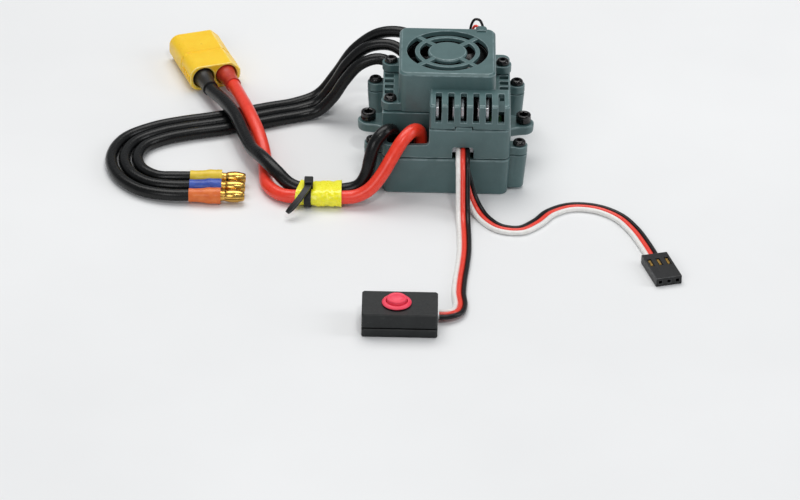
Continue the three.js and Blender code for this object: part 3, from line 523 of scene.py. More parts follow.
# Pulls a closed section through the frames; u runs round the cord and v along it, in millimetres
def sweep(shape, ring, frames, step):
    around = shape.verts.layers.int["around"]
    unwrap = shape.loops.layers.uv["UVMap"]
    sides = len(ring)
    for i, corner in enumerate(ring):
        corner[around] = i
    first = list(ring)
    edges = list({edge for corner in ring for edge in corner.link_edges})
    bmesh.ops.transform(shape, matrix=frames[0], verts=ring)
    for i in range(1, len(frames)):
        edges, fresh = pullEdges(shape, edges)
        bmesh.ops.transform(shape, matrix=frames[i] @ frames[i - 1].inverted(), verts=list(fresh))
        for face in {face for edge in edges for face in edge.link_faces}:
            places = [loop.vert[around] for loop in face.loops]
            wraps = 0 in places and sides - 1 in places
            for loop, place in zip(face.loops, places):
                turn = sides if wraps and place == 0 else place
                row = i if loop.vert in fresh else i - 1
                loop[unwrap].uv = (turn / sides, row * step)
    return first, list(fresh)


def closeEnds(shape, *rings):
    for ring in rings:
        edges = {edge for corner in ring for edge in corner.link_edges if edge.is_boundary}
        bmesh.ops.edgenet_fill(shape, edges=list(edges))
    bmesh.ops.recalc_face_normals(shape, faces=shape.faces)


def makeRoundCord(name, route, diameter, coat, step=1.2, sides=20, body="case"):
    points = evenRoute(route, step)
    shape = cordShape()
    ring = bmesh.ops.create_circle(shape, segments=sides, radius=diameter / 2)["verts"]
    closeEnds(shape, *sweep(shape, ring, sectionFrames(points), step))
    cord = finishPiece(name, shape, coat, name.replace("_cord", ""), body, sharp=60)
    return cord, points


# Three round cores side by side, each with its own colour
def makeFlatCord(name, route, cord, coats, step=1.0):
    points = evenRoute(route, step)
    shape = cordShape()
    radius, pitch = cord["core"] / 2, cord["pitch"]
    valley = math.acos(pitch / 2 / radius)
    turn = math.pi
    lobes = [(pitch, valley - turn, turn - valley), (0, valley, turn - valley),
             (-pitch, valley, 2 * turn - valley), (0, valley + turn, 2 * turn - valley)]
    ring = []
    coatOf = []
    for middleX, start, stop in lobes:
        parts = round((stop - start) / cord["corner"])
        for i in range(parts):
            angle = start + (stop - start) * i / parts
            ring.append(shape.verts.new((middleX + radius * math.cos(angle), radius * math.sin(angle), 0)))
            coatOf.append(round(middleX / pitch) + 1)
    for first, second in zip(ring, ring[1:] + ring[:1]):
        shape.edges.new((first, second))
    ends = sweep(shape, ring, sectionFrames(points, level=True), step)
    around = shape.verts.layers.int["around"]
    for face in shape.faces:
        places = sorted({corner[around] for corner in face.verts})
        face.material_index = coatOf[places[-1] if places == [0, len(ring) - 1] else places[0]]
    closeEnds(shape, *ends)
    piece = finishPiece(name, shape, coats, name.replace("_cord", ""), sharp=50)
    return piece, points


battery = {
    "diameter": 4, "exitRed": (-8, 4.6, 19), "exitBlack": (-16.2, 4, 19), "lengthRed": 136, "lengthBlack": 125,
    "run": [
        (-29.5, -5.8, 3.05, 2.2, 0), (-35.5, -5.8, 2.95, 2.2, 0), (-41.2, -5.7, 2.85, 2.2, 0),
        (-46.6, -4, 2.95, 2.3, 0.1), (-50.8, 0.6, 4, 2.4, 0.3), (-53.4, 7.6, 4.5, 2.4, 0.55),
        (-55.4, 15.4, 4.4, 2.4, 0.8), (-57.8, 24.4, 5.4, 2.3, 0.95), (-60.6, 33.6, 6.3, 2.2, 1),
        (-63.9, 43.6, 5.6, 2.7, 1), (-67.5, 53.7, 4.2, 3.6, 1), (-69.8, 60, 4.1, 3.6, 1),
        (-72.1, 66.4, 4.1, 3.6, 1),
    ],
    "redRise": [
        (-7.3, 6.1, 12.5), (-7.4, 6, 15.6), (-8, 5, 18.4), (-9.7, 2.7, 19.9), (-12.6, -0.7, 18.6),
        (-15.6, -3.8, 14.6), (-18.6, -6, 9.8), (-22, -7.5, 5.8), (-25.8, -8, 3.6),
    ],
    "blackRise": [
        (-15, 6.1, 12.5), (-15.1, 5.9, 15.8), (-15.9, 4.6, 18.7), (-18, 1.8, 19.7), (-20.6, -0.7, 17.6),
        (-22, -2.2, 13.2), (-23, -3.1, 8.4), (-25.2, -3.6, 4.6),
    ],
}
batteryRed, batteryRedPath = makeRoundCord(
    "battery_wire_red_cord", battery["redRise"] + beside(battery["run"], 1),
    battery["diameter"], "redSilicone")
batteryBlack, batteryBlackPath = makeRoundCord(
    "battery_wire_black_cord", battery["blackRise"] + beside(battery["run"], -1),
    battery["diameter"], "blackSilicone")
print("battery leads", round(routeLength(batteryRedPath), 1), round(routeLength(batteryBlackPath), 1))

motor = {
    "diameter": 3.5,
    "run": [
        (-44, 45.6, 1.95, 3.9), (-52, 42.4, 1.95, 3.9), (-60.5, 38.8, 1.95, 3.9), (-69, 35.6, 1.95, 3.9),
        (-77.5, 32.9, 1.95, 3.9), (-85.4, 29.4, 1.95, 3.9), (-92.4, 23.4, 1.95, 3.9), (-95, 14.6, 1.95, 3.9),
        (-92.8, 5.8, 1.95, 4.1), (-87, -0.2, 2, 4.7), (-80.4, -2.3, 2.4, 5.2), (-74, -2.4, 2.5, 5.2),
        (-68, -2.4, 2.5, 5.2),
    ],
    "leads": {
        "left": {
            "share": 1, "exit": (-15.4, 42.5, 19), "length": 132,
            "rise": [
                (-14.2, 42, 12.5), (-14.3, 42.1, 16), (-16.2, 42.8, 19.6), (-20.6, 43.2, 21.2),
                (-26, 43.2, 19), (-30.4, 43.1, 13.6), (-34, 43, 7.6), (-38.4, 42.8, 3),
            ],
        },
        "middle": {
            "share": 0, "exit": (-10.5, 43, 20), "length": 154,
            "rise": [
                (-9.8, 42, 12.5), (-9.9, 42.2, 17), (-11.8, 44, 21.6), (-16.6, 46.6, 24),
                (-23.6, 47.8, 22.6), (-29.6, 47.9, 16.8), (-33.8, 47.8, 9.6), (-38.6, 47.2, 3.4),
            ],
        },
        "right": {
            "share": -1, "exit": (-6, 43.5, 20.8), "length": 176,
            "rise": [
                (-5.4, 42, 12.5), (-5.5, 42.4, 18), (-7.2, 45, 23.4), (-12, 49.4, 26.4),
                (-20, 52, 25.2), (-27.6, 52.4, 19.4), (-33, 52.3, 11), (-38.6, 51.6, 3.8),
            ],
        },
    },
}
motorCords = {}
for which, lead in motor["leads"].items():
    motorCords[which] = makeRoundCord(
        f"motor_wire_{which}_cord", lead["rise"] + beside(motor["run"], lead["share"]),
        motor["diameter"], "blackSilicone")
    print("motor lead", which, round(routeLength(motorCords[which][1]), 1))

flatCord = {"core": 1.44, "pitch": 1.38, "width": 4.2, "corner": 0.42}
flatZ = 0.75
receiver = {
    "exit": (5, 0, 13.1), "length": 97,
    "route": [
        (5, 0.9, 13.1), (5, -1.6, 13), (5, -3.8, 11.9), (6.2, -5.9, 8.4), (7.6, -7.8, 4.2), (9.5, -10.8, 1.5),
        (12, -15.4, flatZ), (16.2, -20, flatZ), (22, -20.8, flatZ), (27, -16.4, flatZ), (31, -10.6, flatZ),
        (37, -7, flatZ), (44.4, -7.6, flatZ), (50.6, -12, flatZ), (54.8, -19, flatZ), (57.8, -27, flatZ),
        (60.2, -35, flatZ),
    ],
}
switch = {
    "exit": (5, 0, 14.9), "length": 81,
    "route": [
        (5, 0.9, 14.9), (5, -2, 14.9), (5, -5.2, 14.2), (5.1, -8, 11.6), (5.2, -10.6, 7.2), (5.3, -13.8, 3),
        (5.5, -18.4, 1), (5.7, -25, flatZ), (5.7, -33, flatZ), (5.2, -41, flatZ), (4.5, -49, flatZ),
        (4.2, -56.5, flatZ), (4.6, -63, flatZ + 0.3), (3.6, -67.6, 1.6), (0.9, -69.6, 1.9), (-1.4, -69.8, 1.9),
    ],
}
flatCoats = ["whiteCore", "redCore", "blackCore"]
receiverCord, receiverPath = makeFlatCord(
    "receiver_lead_cord", receiver["route"], flatCord, flatCoats)
switchCord, switchPath = makeFlatCord("switch_lead_cord", switch["route"], flatCord, flatCoats)
print("flat leads", round(routeLength(receiverPath), 1), round(routeLength(switchPath), 1))


# ---- case shells: the CAD shapes with moulded edges
case = {"edge": 0.2, "edgeSteps": 3, "slimRim": 18.3}
shellSlots = {"bottom_case": "housing", "middle_case": "housing", "fan_cover": "housing"}


# The rim outside the louvres is too slim to round on both sides
def onSlimRim(edge):
    return all(abs(abs(corner.co.x) - case["slimRim"]) < 0.02 for corner in edge.verts)


def makeShells():
    for node, slot in shellSlots.items():
        shape = benchCopy(node)
        softenEdges(
            shape, case["edge"], case["edgeSteps"], over=33,
            leave=onSlimRim if node == "middle_case" else None)
        finishPiece(f"{node}_shell", shape, "housing", node, even=True)


# Four small raised rings on the cover, over the fan's pegs
pegRing = {"offset": 10, "inner": 0.62, "outer": 1.08, "height": 0.16, "round": 0.06}


def makePegRings():
    top = span("fan_cover")[1].z - 0.9
    centre = middle("fan_rotor")
    inner, outer, high, soft = (pegRing[key] for key in ("inner", "outer", "height", "round"))
    profile = [
        (inner, -0.05), (outer, -0.05), (outer, high - soft), (outer - soft, high),
        (inner + soft, high), (inner, high - soft), (inner, -0.05),
    ]
    rings = bmesh.new()
    for sideX in (-1, 1):
        for sideY in (-1, 1):
            place = (centre.x + sideX * pegRing["offset"], centre.y + sideY * pegRing["offset"], top)
            joinShape(rings, moveShape(spun(profile, 28), Matrix.Translation(place)))
    finishPiece("cover_peg_rings", rings, "housing")


makeShells()
makePegRings()
print("case shells softened")


# ---- screws: a turned head with a hexagon socket in its crown
buttonHead = {
    "socket": 0.74, "socketDepth": 0.75, "rim": 1.02, "crown": 5, "skirt": 0.32, "round": 0.12,
    "shank": 0.95, "steps": 48,
}
capHead = {
    "socket": 1.2, "socketDepth": 1.3, "rim": 1.45, "round": 0.28, "shank": 1.2, "steps": 72,
    "knurlDepth": 0.09, "knurlLow": 0.25, "knurlHigh": 0.72,
}


# Closes the crown's open rim with a hexagon socket
def cutSocket(shape, top, socket, depth, steps):
    rim = [edge for edge in shape.edges if edge.is_boundary]
    hexagon = bmesh.ops.create_circle(shape, segments=6, radius=socket * 2 / math.sqrt(3))["verts"]
    bmesh.ops.translate(shape, vec=(0, 0, top), verts=hexagon)
    loop = list({edge for corner in hexagon for edge in corner.link_edges})
    cuts = bmesh.ops.subdivide_edges(shape, edges=loop, cuts=steps // 6 - 1)["geom_split"]
    loop = list({item for item in cuts if isinstance(item, bmesh.types.BMEdge)})
    bmesh.ops.bridge_loops(shape, edges=rim + loop)
    for drop, size in ((depth, 1), (depth * 0.25, 0)):
        loop, fresh = pullEdges(shape, loop)
        bmesh.ops.translate(shape, vec=(0, 0, -drop), verts=list(fresh))
        bmesh.ops.scale(shape, vec=(size, size, 1), verts=list(fresh))
    bmesh.ops.remove_doubles(shape, verts=shape.verts, dist=1e-3)
    bmesh.ops.recalc_face_normals(shape, faces=shape.faces)


def makeButtonScrew(node):
    low, high = span(node)
    radius = (high.x - low.x) / 2
    seat = high.z - 1.25
    look = buttonHead
    profile = [
        (0, low.z - 0.2), (look["shank"] * 0.6, low.z), (look["shank"], low.z + 0.3), (look["shank"], seat),
        (radius - look["round"], seat), (radius, seat + look["round"]), (radius, seat + look["skirt"]),
    ]
    rise = high.z - seat - look["skirt"]
    for i in range(1, look["crown"] + 1):
        share = i / look["crown"]
        wide = radius - (radius - look["rim"]) * share
        profile.append((wide, seat + look["skirt"] + rise * math.sqrt(1 - (1 - share) ** 2)))
    shape = spun(profile[1:], look["steps"])
    cutSocket(shape, high.z - 0.03, look["socket"], look["socketDepth"], look["steps"])
    place = Matrix.Translation(((low.x + high.x) / 2, (low.y + high.y) / 2, 0))
    finishPiece(f"{node}_turned", moveShape(shape, place), "blackSteel", node)


def makeCapScrew(node):
    low, high = span(node)
    radius = (high.x - low.x) / 2
    seat = high.z - 2.5
    look = capHead
    tall = high.z - seat
    knurl = [seat + tall * look["knurlLow"], seat + tall * look["knurlHigh"]]
    profile = [
        (look["shank"] * 0.7, low.z), (look["shank"], low.z + 0.4), (look["shank"], seat),
        (radius - 0.2, seat), (radius, seat + 0.2), (radius, knurl[0] - 0.1), (radius, knurl[0]),
        (radius, knurl[1]), (radius, knurl[1] + 0.1), (radius, high.z - look["round"]),
        (radius - look["round"] * 0.4, high.z - look["round"] * 0.3), (radius - look["round"], high.z),
        (look["rim"], high.z),
    ]
    shape = spun(profile, look["steps"])
    step = 2 * math.pi / look["steps"]
    for corner in shape.verts:
        inBand = knurl[0] - 0.01 < corner.co.z < knurl[1] + 0.01
        if inBand and round(math.atan2(corner.co.y, corner.co.x) / step) % 2:
            corner.co.xy *= 1 - look["knurlDepth"] / radius
    cutSocket(shape, high.z - 0.12, look["socket"], look["socketDepth"], look["steps"])
    place = Matrix.Translation(((low.x + high.x) / 2, (low.y + high.y) / 2, 0))
    finishPiece(f"{node}_turned", moveShape(shape, place), "blackSteel", node, sharp=34)


for node in sorted(cadNodes):
    if node.startswith(("case_screw", "cover_screw")):
        makeButtonScrew(node)
    elif node.startswith("mounting_screw"):
        makeCapScrew(node)
print("screws turned")


# ---- fan: hub, swept blades and the frame behind the grille
fan = {
    "blades": 7, "root": 4.9, "tip": 11.3, "chord": 42, "spread": 10, "sweep": 16,
    "thick": 0.55, "low": 0.35, "high": 0.45, "hubRound": 0.5, "label": 3.6,
}


def makeBlade(low, high):
    shape = bmesh.new()
    bmesh.ops.create_grid(shape, x_segments=8, y_segments=8, size=0.5)
    for corner in shape.verts:
        across, out = corner.co.x + 0.5, corner.co.y + 0.5
        radius = fan["root"] + out * (fan["tip"] - fan["root"])
        chord = math.radians(fan["chord"] + fan["spread"] * (0.5 - out))
        angle = (across - 0.5) * chord + math.radians(fan["sweep"]) * out * out
        height = low + (high - low) * (across + 0.14 * math.sin(math.pi * across))
        corner.co = (radius * math.cos(angle), radius * math.sin(angle), height)
    bmesh.ops.recalc_face_normals(shape, faces=shape.faces)
    bmesh.ops.solidify(shape, geom=shape.faces[:], thickness=fan["thick"])
    return shape


def makeFan():
    low, high = span("fan_rotor")
    hub = (span("fan_coil")[1].x - span("fan_coil")[0].x) / 2 + 1
    roof = high.z - 0.9
    inner = hub - 0.7
    soft = fan["hubRound"]
    profile = [
        (0, roof), (inner, roof), (inner, low.z), (hub, low.z), (hub, high.z - soft),
        (hub - soft * 0.3, high.z - soft * 0.3), (hub - soft, high.z), (fan["label"] + 0.25, high.z),
        (fan["label"], high.z - 0.15), (0, high.z - 0.15),
    ]
    rotor = spun(profile, 48)
    for i in range(fan["blades"]):
        blade = makeBlade(low.z + fan["low"], high.z - fan["high"])
        joinShape(rotor, moveShape(blade, Matrix.Rotation(2 * math.pi * i / fan["blades"], 4, "Z")))
    centre = middle("fan_shaft")
    moveShape(rotor, Matrix.Translation((centre.x, centre.y, 0)))
    finishPiece("fan_rotor_bladed", rotor, "fanPlastic", "fan_rotor", body="fan")
    shape = benchCopy("fan_frame")
    softenEdges(shape, 0.15, 2)
    finishPiece("fan_frame_moulded", shape, "fanPlastic", "fan_frame", even=True)


makeFan()
print("fan built")


# ---- heatsink: milled comb with broken edges
def makeHeatsink():
    shape = benchCopy("heatsink")
    softenEdges(shape, 0.09, 1)
    finishPiece("heatsink_milled", shape, "milledAluminium", "heatsink", even=True)


makeHeatsink()


# ---- capacitors: a dark sleeve round an aluminium can with a cross-shaped vent
can = {"lip": 0.3, "round": 0.35, "sink": 0.22, "skin": 0.08, "vent": 0.14, "steps": 40}


def makeCapacitor(node):
    low, high = span(node)
    radius = (high.x - low.x) / 2
    top = high.z
    skin, soft = can["skin"], can["round"]
    body = spun([
        (0, low.z), (radius - 0.4, low.z), (radius - skin, low.z + 0.3), (radius - skin, top - soft),
        (radius - skin - soft * 0.3, top - soft * 0.3), (radius - skin - soft, top),
        (radius - can["lip"] - soft, top - can["sink"]), (0, top - can["sink"]),
    ], can["steps"])
    sleeve = spun([
        (radius - skin, low.z + 0.5), (radius, low.z + 0.6), (radius, top - soft - 0.05),
        (radius - can["lip"] * 0.5, top - 0.08), (radius - can["lip"] - 0.15, top + 0.02),
        (radius - can["lip"] - 0.15, top - 0.1), (radius - skin - 0.05, top - soft - 0.1),
        (radius - skin, low.z + 0.5),
    ], can["steps"])
    for turn in (0, 1):
        bar = roundedBox((-radius * 0.55, -can["vent"] / 2, 0), (radius * 0.55, can["vent"] / 2, 0.06), 0.025, 1)
        moveShape(bar, Matrix.Rotation(math.pi / 4 + turn * math.pi / 2, 4, "Z"))
        joinShape(body, moveShape(bar, Matrix.Translation((0, 0, top - can["sink"] - 0.02))))
    joinShape(body, sleeve, 1)
    place = Matrix.Translation(((low.x + high.x) / 2, (low.y + high.y) / 2, 0))
    moveShape(body, place)
    finishPiece(f"{node}_sleeved", body, ["canAluminium", "canSleeve"], node)


for node in ("capacitor_front", "capacitor_rear_left", "capacitor_rear_right"):
    makeCapacitor(node)
print("capacitors sleeved")


# ---- power plug: keyed nylon shell, sleeves shrunk on the wires, split contacts
plug = {
    "edge": 0.4, "pitch": 7.2, "grooveAt": (2.9, 3.15, 3.85, 4.1), "grooveDepth": 0.28,
    "ribs": 6, "ribPitch": 1.5, "ribFrom": -4.8, "rib": (0.75, 2.1, 0.3),
    "sleeve": (-12.8, -0.4), "sleeveBack": 2.35, "sleeveFront": 3.0,
}
splitPin = {"steps": 40, "slots": 4, "slotWidth": 0.3, "skin": 0.34}


# A place on a wire's end, its +X pointing the way that the wire runs
def endPlace(points):
    along = points[-1] - points[-3]
    turn = math.atan2(along.y, along.x)
    return Matrix.Translation(points[-1]) @ Matrix.Rotation(turn, 4, "Z")


def plugPlace():
    red, black = batteryRedPath[-1], batteryBlackPath[-1]
    across = black - red
    turn = math.atan2(across.x, -across.y) + math.pi
    return Matrix.Translation((red + black) / 2) @ Matrix.Rotation(turn, 4, "Z")


def makePlug():
    place = plugPlace()
    shape = moveShape(benchCopy("power_plug"), place.inverted())
    softenEdges(shape, plug["edge"], 3)
    wearAndHighlight = shape.faces.layers.float["wearAndHighlight"]
    for at in plug["grooveAt"]:
        everything = shape.verts[:] + shape.edges[:] + shape.faces[:]
        bmesh.ops.bisect_plane(shape, geom=everything, plane_co=(at, 0, 0), plane_no=(1, 0, 0))
    low, high = plug["grooveAt"][1:3]
    for corner in shape.verts:
        outside = abs(corner.co.z) > 3.6 or abs(corner.co.y) > 7.2
        if outside and low - 0.01 < corner.co.x < high + 0.01:
            corner.co.y -= math.copysign(plug["grooveDepth"], corner.co.y)
            corner.co.z -= math.copysign(min(plug["grooveDepth"], abs(corner.co.z)), corner.co.z)
    half = max(corner.co.y for corner in shape.verts)
    long, tall, proud = plug["rib"]
    for side in (-1, 1):
        for i in range(plug["ribs"]):
            x = plug["ribFrom"] + i * plug["ribPitch"]
            if low - long < x + long / 2 < high + long:
                continue
            edge = side * half
            lows = (x - long / 2, min(edge - side * 0.3, edge + side * proud), -tall / 2)
            highs = (x + long / 2, max(edge - side * 0.3, edge + side * proud), tall / 2)
            joinShape(shape, roundedBox(lows, highs, 0.14, 2))
    finishPiece(
        "power_plug_moulded", moveShape(shape, place), "plugNylon", "power_plug", even=True)


# A stretch of a cord's own path, from and to distances before its end; it may run past the end
def stretchOf(points, start, stop, count):
    back = [points[-1]]
    walked = [0.0]
    for point in reversed(points[:-1]):
        walked.append(walked[-1] + (point - back[-1]).length)
        back.append(point)
    tip = (points[-1] - points[-2]).normalized()
    found = []
    for i in range(count):
        at = start + (stop - start) * i / (count - 1)
        if at >= 0:
            found.append(points[-1] + tip * at)
            continue
        k = next(j for j, far in enumerate(walked) if far >= -at)
        share = (-at - walked[k - 1]) / (walked[k] - walked[k - 1])
        found.append(back[k - 1].lerp(back[k], share))
    return found


# Shrink tube on a wire: it grips the wire at its back end and swells over the joint
def makeShrink(name, points, reach, wire, back, front, coat, node, flared=False):
    rows = 26
    sizes = []
    for i in range(rows):
        share = i / (rows - 1)
        swell = min(1, max(0, (share - 0.3) / 0.35))
        swell = swell * swell * (3 - 2 * swell)
        waves = 0.035 * math.sin(share * 23) + 0.02 * math.sin(share * 61)
        sizes.append(back + (front - back) * swell + waves)
    sizes[0] = wire + 0.06
    sizes[-1] = front - 0.32
    points = stretchOf(points, *reach, rows - 2)
    points = [points[0].lerp(points[1], 0.02), *points, points[-1] + (points[-1] - points[-2]) * 0.05]
    points[0], points[1] = points[1], points[0].lerp(points[2], 0.15)
    shape = cordShape()
    ring = bmesh.ops.create_circle(shape, segments=28, radius=1)["verts"]
    closeEnds(shape, *sweep(shape, ring, sectionFrames(points, sizes=sizes), 0.4))
    return finishPiece(name, shape, coat, node, sharp=50)


# A sprung contact: a solid collar and a tube slotted into leaves, turned about X
def makeSplitPin(name, place, profile, slotFrom, node):
    steps = splitPin["steps"]
    leaves = spun(profile, steps)
    gone = []
    for face in leaves.faces:
        middleOf = face.calc_center_median()
        step = round(math.atan2(middleOf.y, middleOf.x) / (2 * math.pi) * steps - 0.5) % steps
        if middleOf.z > slotFrom and step % (steps // splitPin["slots"]) == 0:
            gone.append(face)
    bmesh.ops.delete(leaves, geom=gone, context="FACES")
    bmesh.ops.solidify(leaves, geom=leaves.faces[:], thickness=splitPin["skin"])
    core = spun([(0, profile[0][1]), (profile[0][0] - 0.1, profile[0][1]), (profile[0][0] - 0.1, slotFrom), (0, slotFrom)], steps)
    joinShape(leaves, core)
    bmesh.ops.recalc_face_normals(leaves, faces=leaves.faces)
    moveShape(leaves, place @ Matrix.Rotation(math.pi / 2, 4, "Y"))
    return finishPiece(name, leaves, "gold", node, sharp=34)


makePlug()
for colour, path, side in (("black", batteryBlackPath, 1), ("red", batteryRedPath, -1)):
    makeShrink(
        f"plug_sleeve_{colour}_shrunk", path, plug["sleeve"], battery["diameter"] / 2, plug["sleeveBack"],
        plug["sleeveFront"], f"shrink{colour.capitalize()}", f"plug_sleeve_{colour}")
    contactProfile = [
        (1.75, 0.3), (1.75, 6.4), (1.45, 6.6), (1.45, 7.1), (1.7, 7.5), (1.75, 9), (1.72, 13.2), (1.5, 14.1),
        (1.15, 14.55),
    ]
    makeSplitPin(
        f"plug_contact_{colour}_split", plugPlace() @ Matrix.Translation((0, side * plug["pitch"] / 2, 0)),
        contactProfile, 7.4, f"plug_contact_{colour}")
print("power plug built")


# ---- motor lead ends: shrink tube over the joint, a sprung bullet in front
bullet = {
    "sleeve": (-7, 2.4), "back": 2.0, "front": 2.38,
    "profile": [
        (1.6, 0.3), (1.6, 2.8), (1.3, 3), (1.3, 3.4), (1.62, 3.8), (1.86, 4.9), (1.95, 6.1), (1.86, 7.3),
        (1.6, 8.3), (1.5, 8.9), (1.25, 9.35),
    ],
    "slotFrom": 3.6,
}
for which, colour in (("left", "Yellow"), ("middle", "Blue"), ("right", "Orange")):
    points = motorCords[which][1]
    makeShrink(
        f"motor_sleeve_{which}_shrunk", points, bullet["sleeve"], motor["diameter"] / 2, bullet["back"],
        bullet["front"], f"shrink{colour}", f"motor_sleeve_{which}")
    makeSplitPin(
        f"motor_bullet_{which}_sprung", endPlace(points), bullet["profile"], bullet["slotFrom"],
        f"motor_bullet_{which}")
print("motor lead ends built")


# ---- the tag and the tie round the battery pair
pairPath = evenRoute(battery["run"], 0.4)
tag = {
    "from": 0.75, "to": 13.4, "rows": 44, "skin": 0.22, "half": (4.85, 2.62), "waist": (4.5, 2.3),
    "waistAt": 10.35, "waistWide": 1.9, "mouth": 2.4, "flare": 0.34, "flap": 3.4, "flapAngle": -2.25,
}
tie = {
    "band": (1.0, 0.55), "half": (4.52, 2.3), "at": 10.4, "head": (1.3, 1.8, 1.25), "tail": 11,
    "tailHalf": (0.95, 0.42), "teeth": 14,
}


def stadium(shape, halfWide, halfTall, sides=56):
    ring = bmesh.ops.create_circle(shape, segments=sides, radius=halfTall)["verts"]
    for corner in ring:
        if abs(corner.co.x) > 1e-4:
            corner.co.x += math.copysign(halfWide - halfTall, corner.co.x)
    return ring


def pairPoint(distance):
    k = min(int(distance / 0.4), len(pairPath) - 2)
    return pairPath[k].lerp(pairPath[k + 1], distance / 0.4 - k)


# Half width and half height of the film at a distance along the pair, before its creases
def tagSize(at):
    pinch = math.exp(-((at - tag["waistAt"]) / tag["waistWide"]) ** 4)
    wide, tall = (big + (small - big) * pinch for big, small in zip(tag["half"], tag["waist"]))
    mouth = max(0, 1 - (at - tag["from"]) / tag["mouth"]) ** 2
    return wide + tag["flare"] * mouth, tall + tag["flare"] * mouth / 2, mouth, 1 - pinch


# A crinkled film round the pair, pinched under the tie, one corner of its mouth pulled out
def makeTag():
    shape = cordShape()
    ring = stadium(shape, 1, 0.5)
    rows = tag["rows"]
    distances = [tag["from"] + (tag["to"] - tag["from"]) * i / (rows - 1) for i in range(rows)]
    frames = sectionFrames([pairPoint(at) for at in distances], level=True)
    sweep(shape, ring, frames, 0.3)
    for corner in shape.verts:
        row = min(range(rows), key=lambda i: (frames[i].translation - corner.co).length_squared)
        local = frames[row].inverted() @ corner.co
        wide, tall, mouth, loose = tagSize(distances[row])
        angle = math.atan2(local.y * 2, local.x)
        crease = 0.09 * math.sin(angle * 5 + distances[row] * 1.7)
        crease += 0.06 * math.sin(angle * 9 - distances[row] * 2.9)
        wide += crease * loose
        tall += crease * loose
        flat = max(-0.5, min(0.5, local.x))
        bend = Vector((local.x - flat, local.y, 0)).normalized()
        turn = (angle - tag["flapAngle"] + math.pi) % (2 * math.pi) - math.pi
        flap = tag["flap"] * mouth * math.exp(-((turn / 0.32) ** 2))
        place = Vector((flat * 2 * (wide - tall) + bend.x * tall, bend.y * tall, local.z - flap))
        corner.co = frames[row] @ place
    bmesh.ops.recalc_face_normals(shape, faces=shape.faces)
    bmesh.ops.solidify(shape, geom=shape.faces[:], thickness=tag["skin"])
    for face in shape.faces:
        centre = face.calc_center_median()
        row = min(range(0, rows, 3), key=lambda i: (frames[i].translation - centre).length_squared)
        away = centre - frames[row].translation
        away.x = 0
        face.material_index = 1 if face.normal.dot(away.normalized()) < 0.2 else 0
    finishPiece("wire_tag_film", shape, ["tagFilm", "tagEdge"], "wire_tag", sharp=60)


def makeTie():
    shape = cordShape()
    wide, thick = tie["band"]
    ring = stadium(shape, *tie["half"])
    points = [pairPoint(tie["at"] + wide * share) for share in (-1, 1)]
    sweep(shape, ring, sectionFrames(points, level=True), 2 * wide)
    bmesh.ops.recalc_face_normals(shape, faces=shape.faces)
    bmesh.ops.solidify(shape, geom=shape.faces[:], thickness=-thick)
    softenEdges(shape, 0.14, 2, over=50)
    centre = middle("cable_tie")
    top = span("cable_tie")[1].z
    headX, headY, headZ = tie["head"]
    headAt = Vector((centre.x, -5.8, top - headZ))
    head = roundedBox(headAt - Vector(tie["head"]), headAt + Vector(tie["head"]), 0.3, 3)
    joinShape(shape, head)
    start = headAt + Vector((0, -headY * 0.6, 0))
    reach = tie["tail"]
    route = [
        start, start + Vector((-0.4, -2.2, 0.1)), start + Vector((-1.6, -4.8, -0.6)),
        start + Vector((-3.6, -7.4, -2.2)), start + Vector((-6, -9.4, -4.2)),
    ]
    strap = cordShape()
    halfWide, halfThick = tie["tailHalf"]
    section = [strap.verts.new((x * halfWide, y * halfThick, 0)) for x, y in ((-1, -1), (1, -1), (1, 1), (-1, 1))]
    for first, second in zip(section, section[1:] + section[:1]):
        strap.edges.new((first, second))
    points = evenRoute(route, 0.35)
    sizes = [1 - 0.35 * max(0, i / len(points) - 0.85) / 0.15 for i in range(len(points))]
    closeEnds(strap, *sweep(strap, section, sectionFrames(points, level=True, sizes=sizes), 0.35))
    softenEdges(strap, 0.12, 2, over=50)
    joinShape(shape, strap)
    finishPiece("cable_tie_strap", shape, "blackNylon", "cable_tie", even=True)


makeTag()
makeTie()
print("tag and tie wrapped")


# ---- receiver plug: a three-way shell with latch windows over its contacts
servoPlug = {
    "edge": 0.22, "windowX": (3.2, 7.2), "windowWide": 1.2, "pitch": 2.54, "windowDepth": 0.35,
    "latch": (3.5, 6.4), "key": 0.6,
}


def makeReceiverPlug():
    place = endPlace(receiverPath)
    low, high = span("receiver_plug")
    place.translation.z = (low.z + high.z) / 2
    shape = moveShape(benchCopy("receiver_plug"), place.inverted())
    softenEdges(shape, servoPlug["edge"], 2)
    top = max(corner.co.z for corner in shape.verts)
    cuts = [((x, 0, 0), (1, 0, 0)) for x in servoPlug["windowX"]]
    for pin in (-1, 0, 1):
        for side in (-1, 1):
            y = pin * servoPlug["pitch"] + side * servoPlug["windowWide"] / 2
            cuts.append(((0, y, 0), (0, 1, 0)))
    for at, normal in cuts:
        everything = shape.verts[:] + shape.edges[:] + shape.faces[:]
        bmesh.ops.bisect_plane(shape, geom=everything, plane_co=at, plane_no=normal)
    windows = []
    for face in shape.faces:
        centre = face.calc_center_median()
        inRow = servoPlug["windowX"][0] < centre.x < servoPlug["windowX"][1]
        pin = round(centre.y / servoPlug["pitch"])
        inside = abs(centre.y - pin * servoPlug["pitch"]) < servoPlug["windowWide"] / 2
        if inRow and inside and abs(pin) < 2 and centre.z > top - 0.02:
            windows.append(face)
    bmesh.ops.inset_individual(shape, faces=windows, thickness=0.08, depth=-servoPlug["windowDepth"])
    for pin in (-1, 0, 1):
        y = pin * servoPlug["pitch"]
        x0, x1 = servoPlug["latch"]
        floor = top - servoPlug["windowDepth"]
        latch = roundedBox((x0, y - 0.36, floor - 0.1), (x1, y + 0.36, floor + 0.14), 0.06, 1)
        joinShape(shape, latch, 1)
    finishPiece(
        "receiver_plug_moulded", moveShape(shape, place), ["blackNylon", "gold"], "receiver_plug",
        even=True)


makeReceiverPlug()
print("receiver plug built")


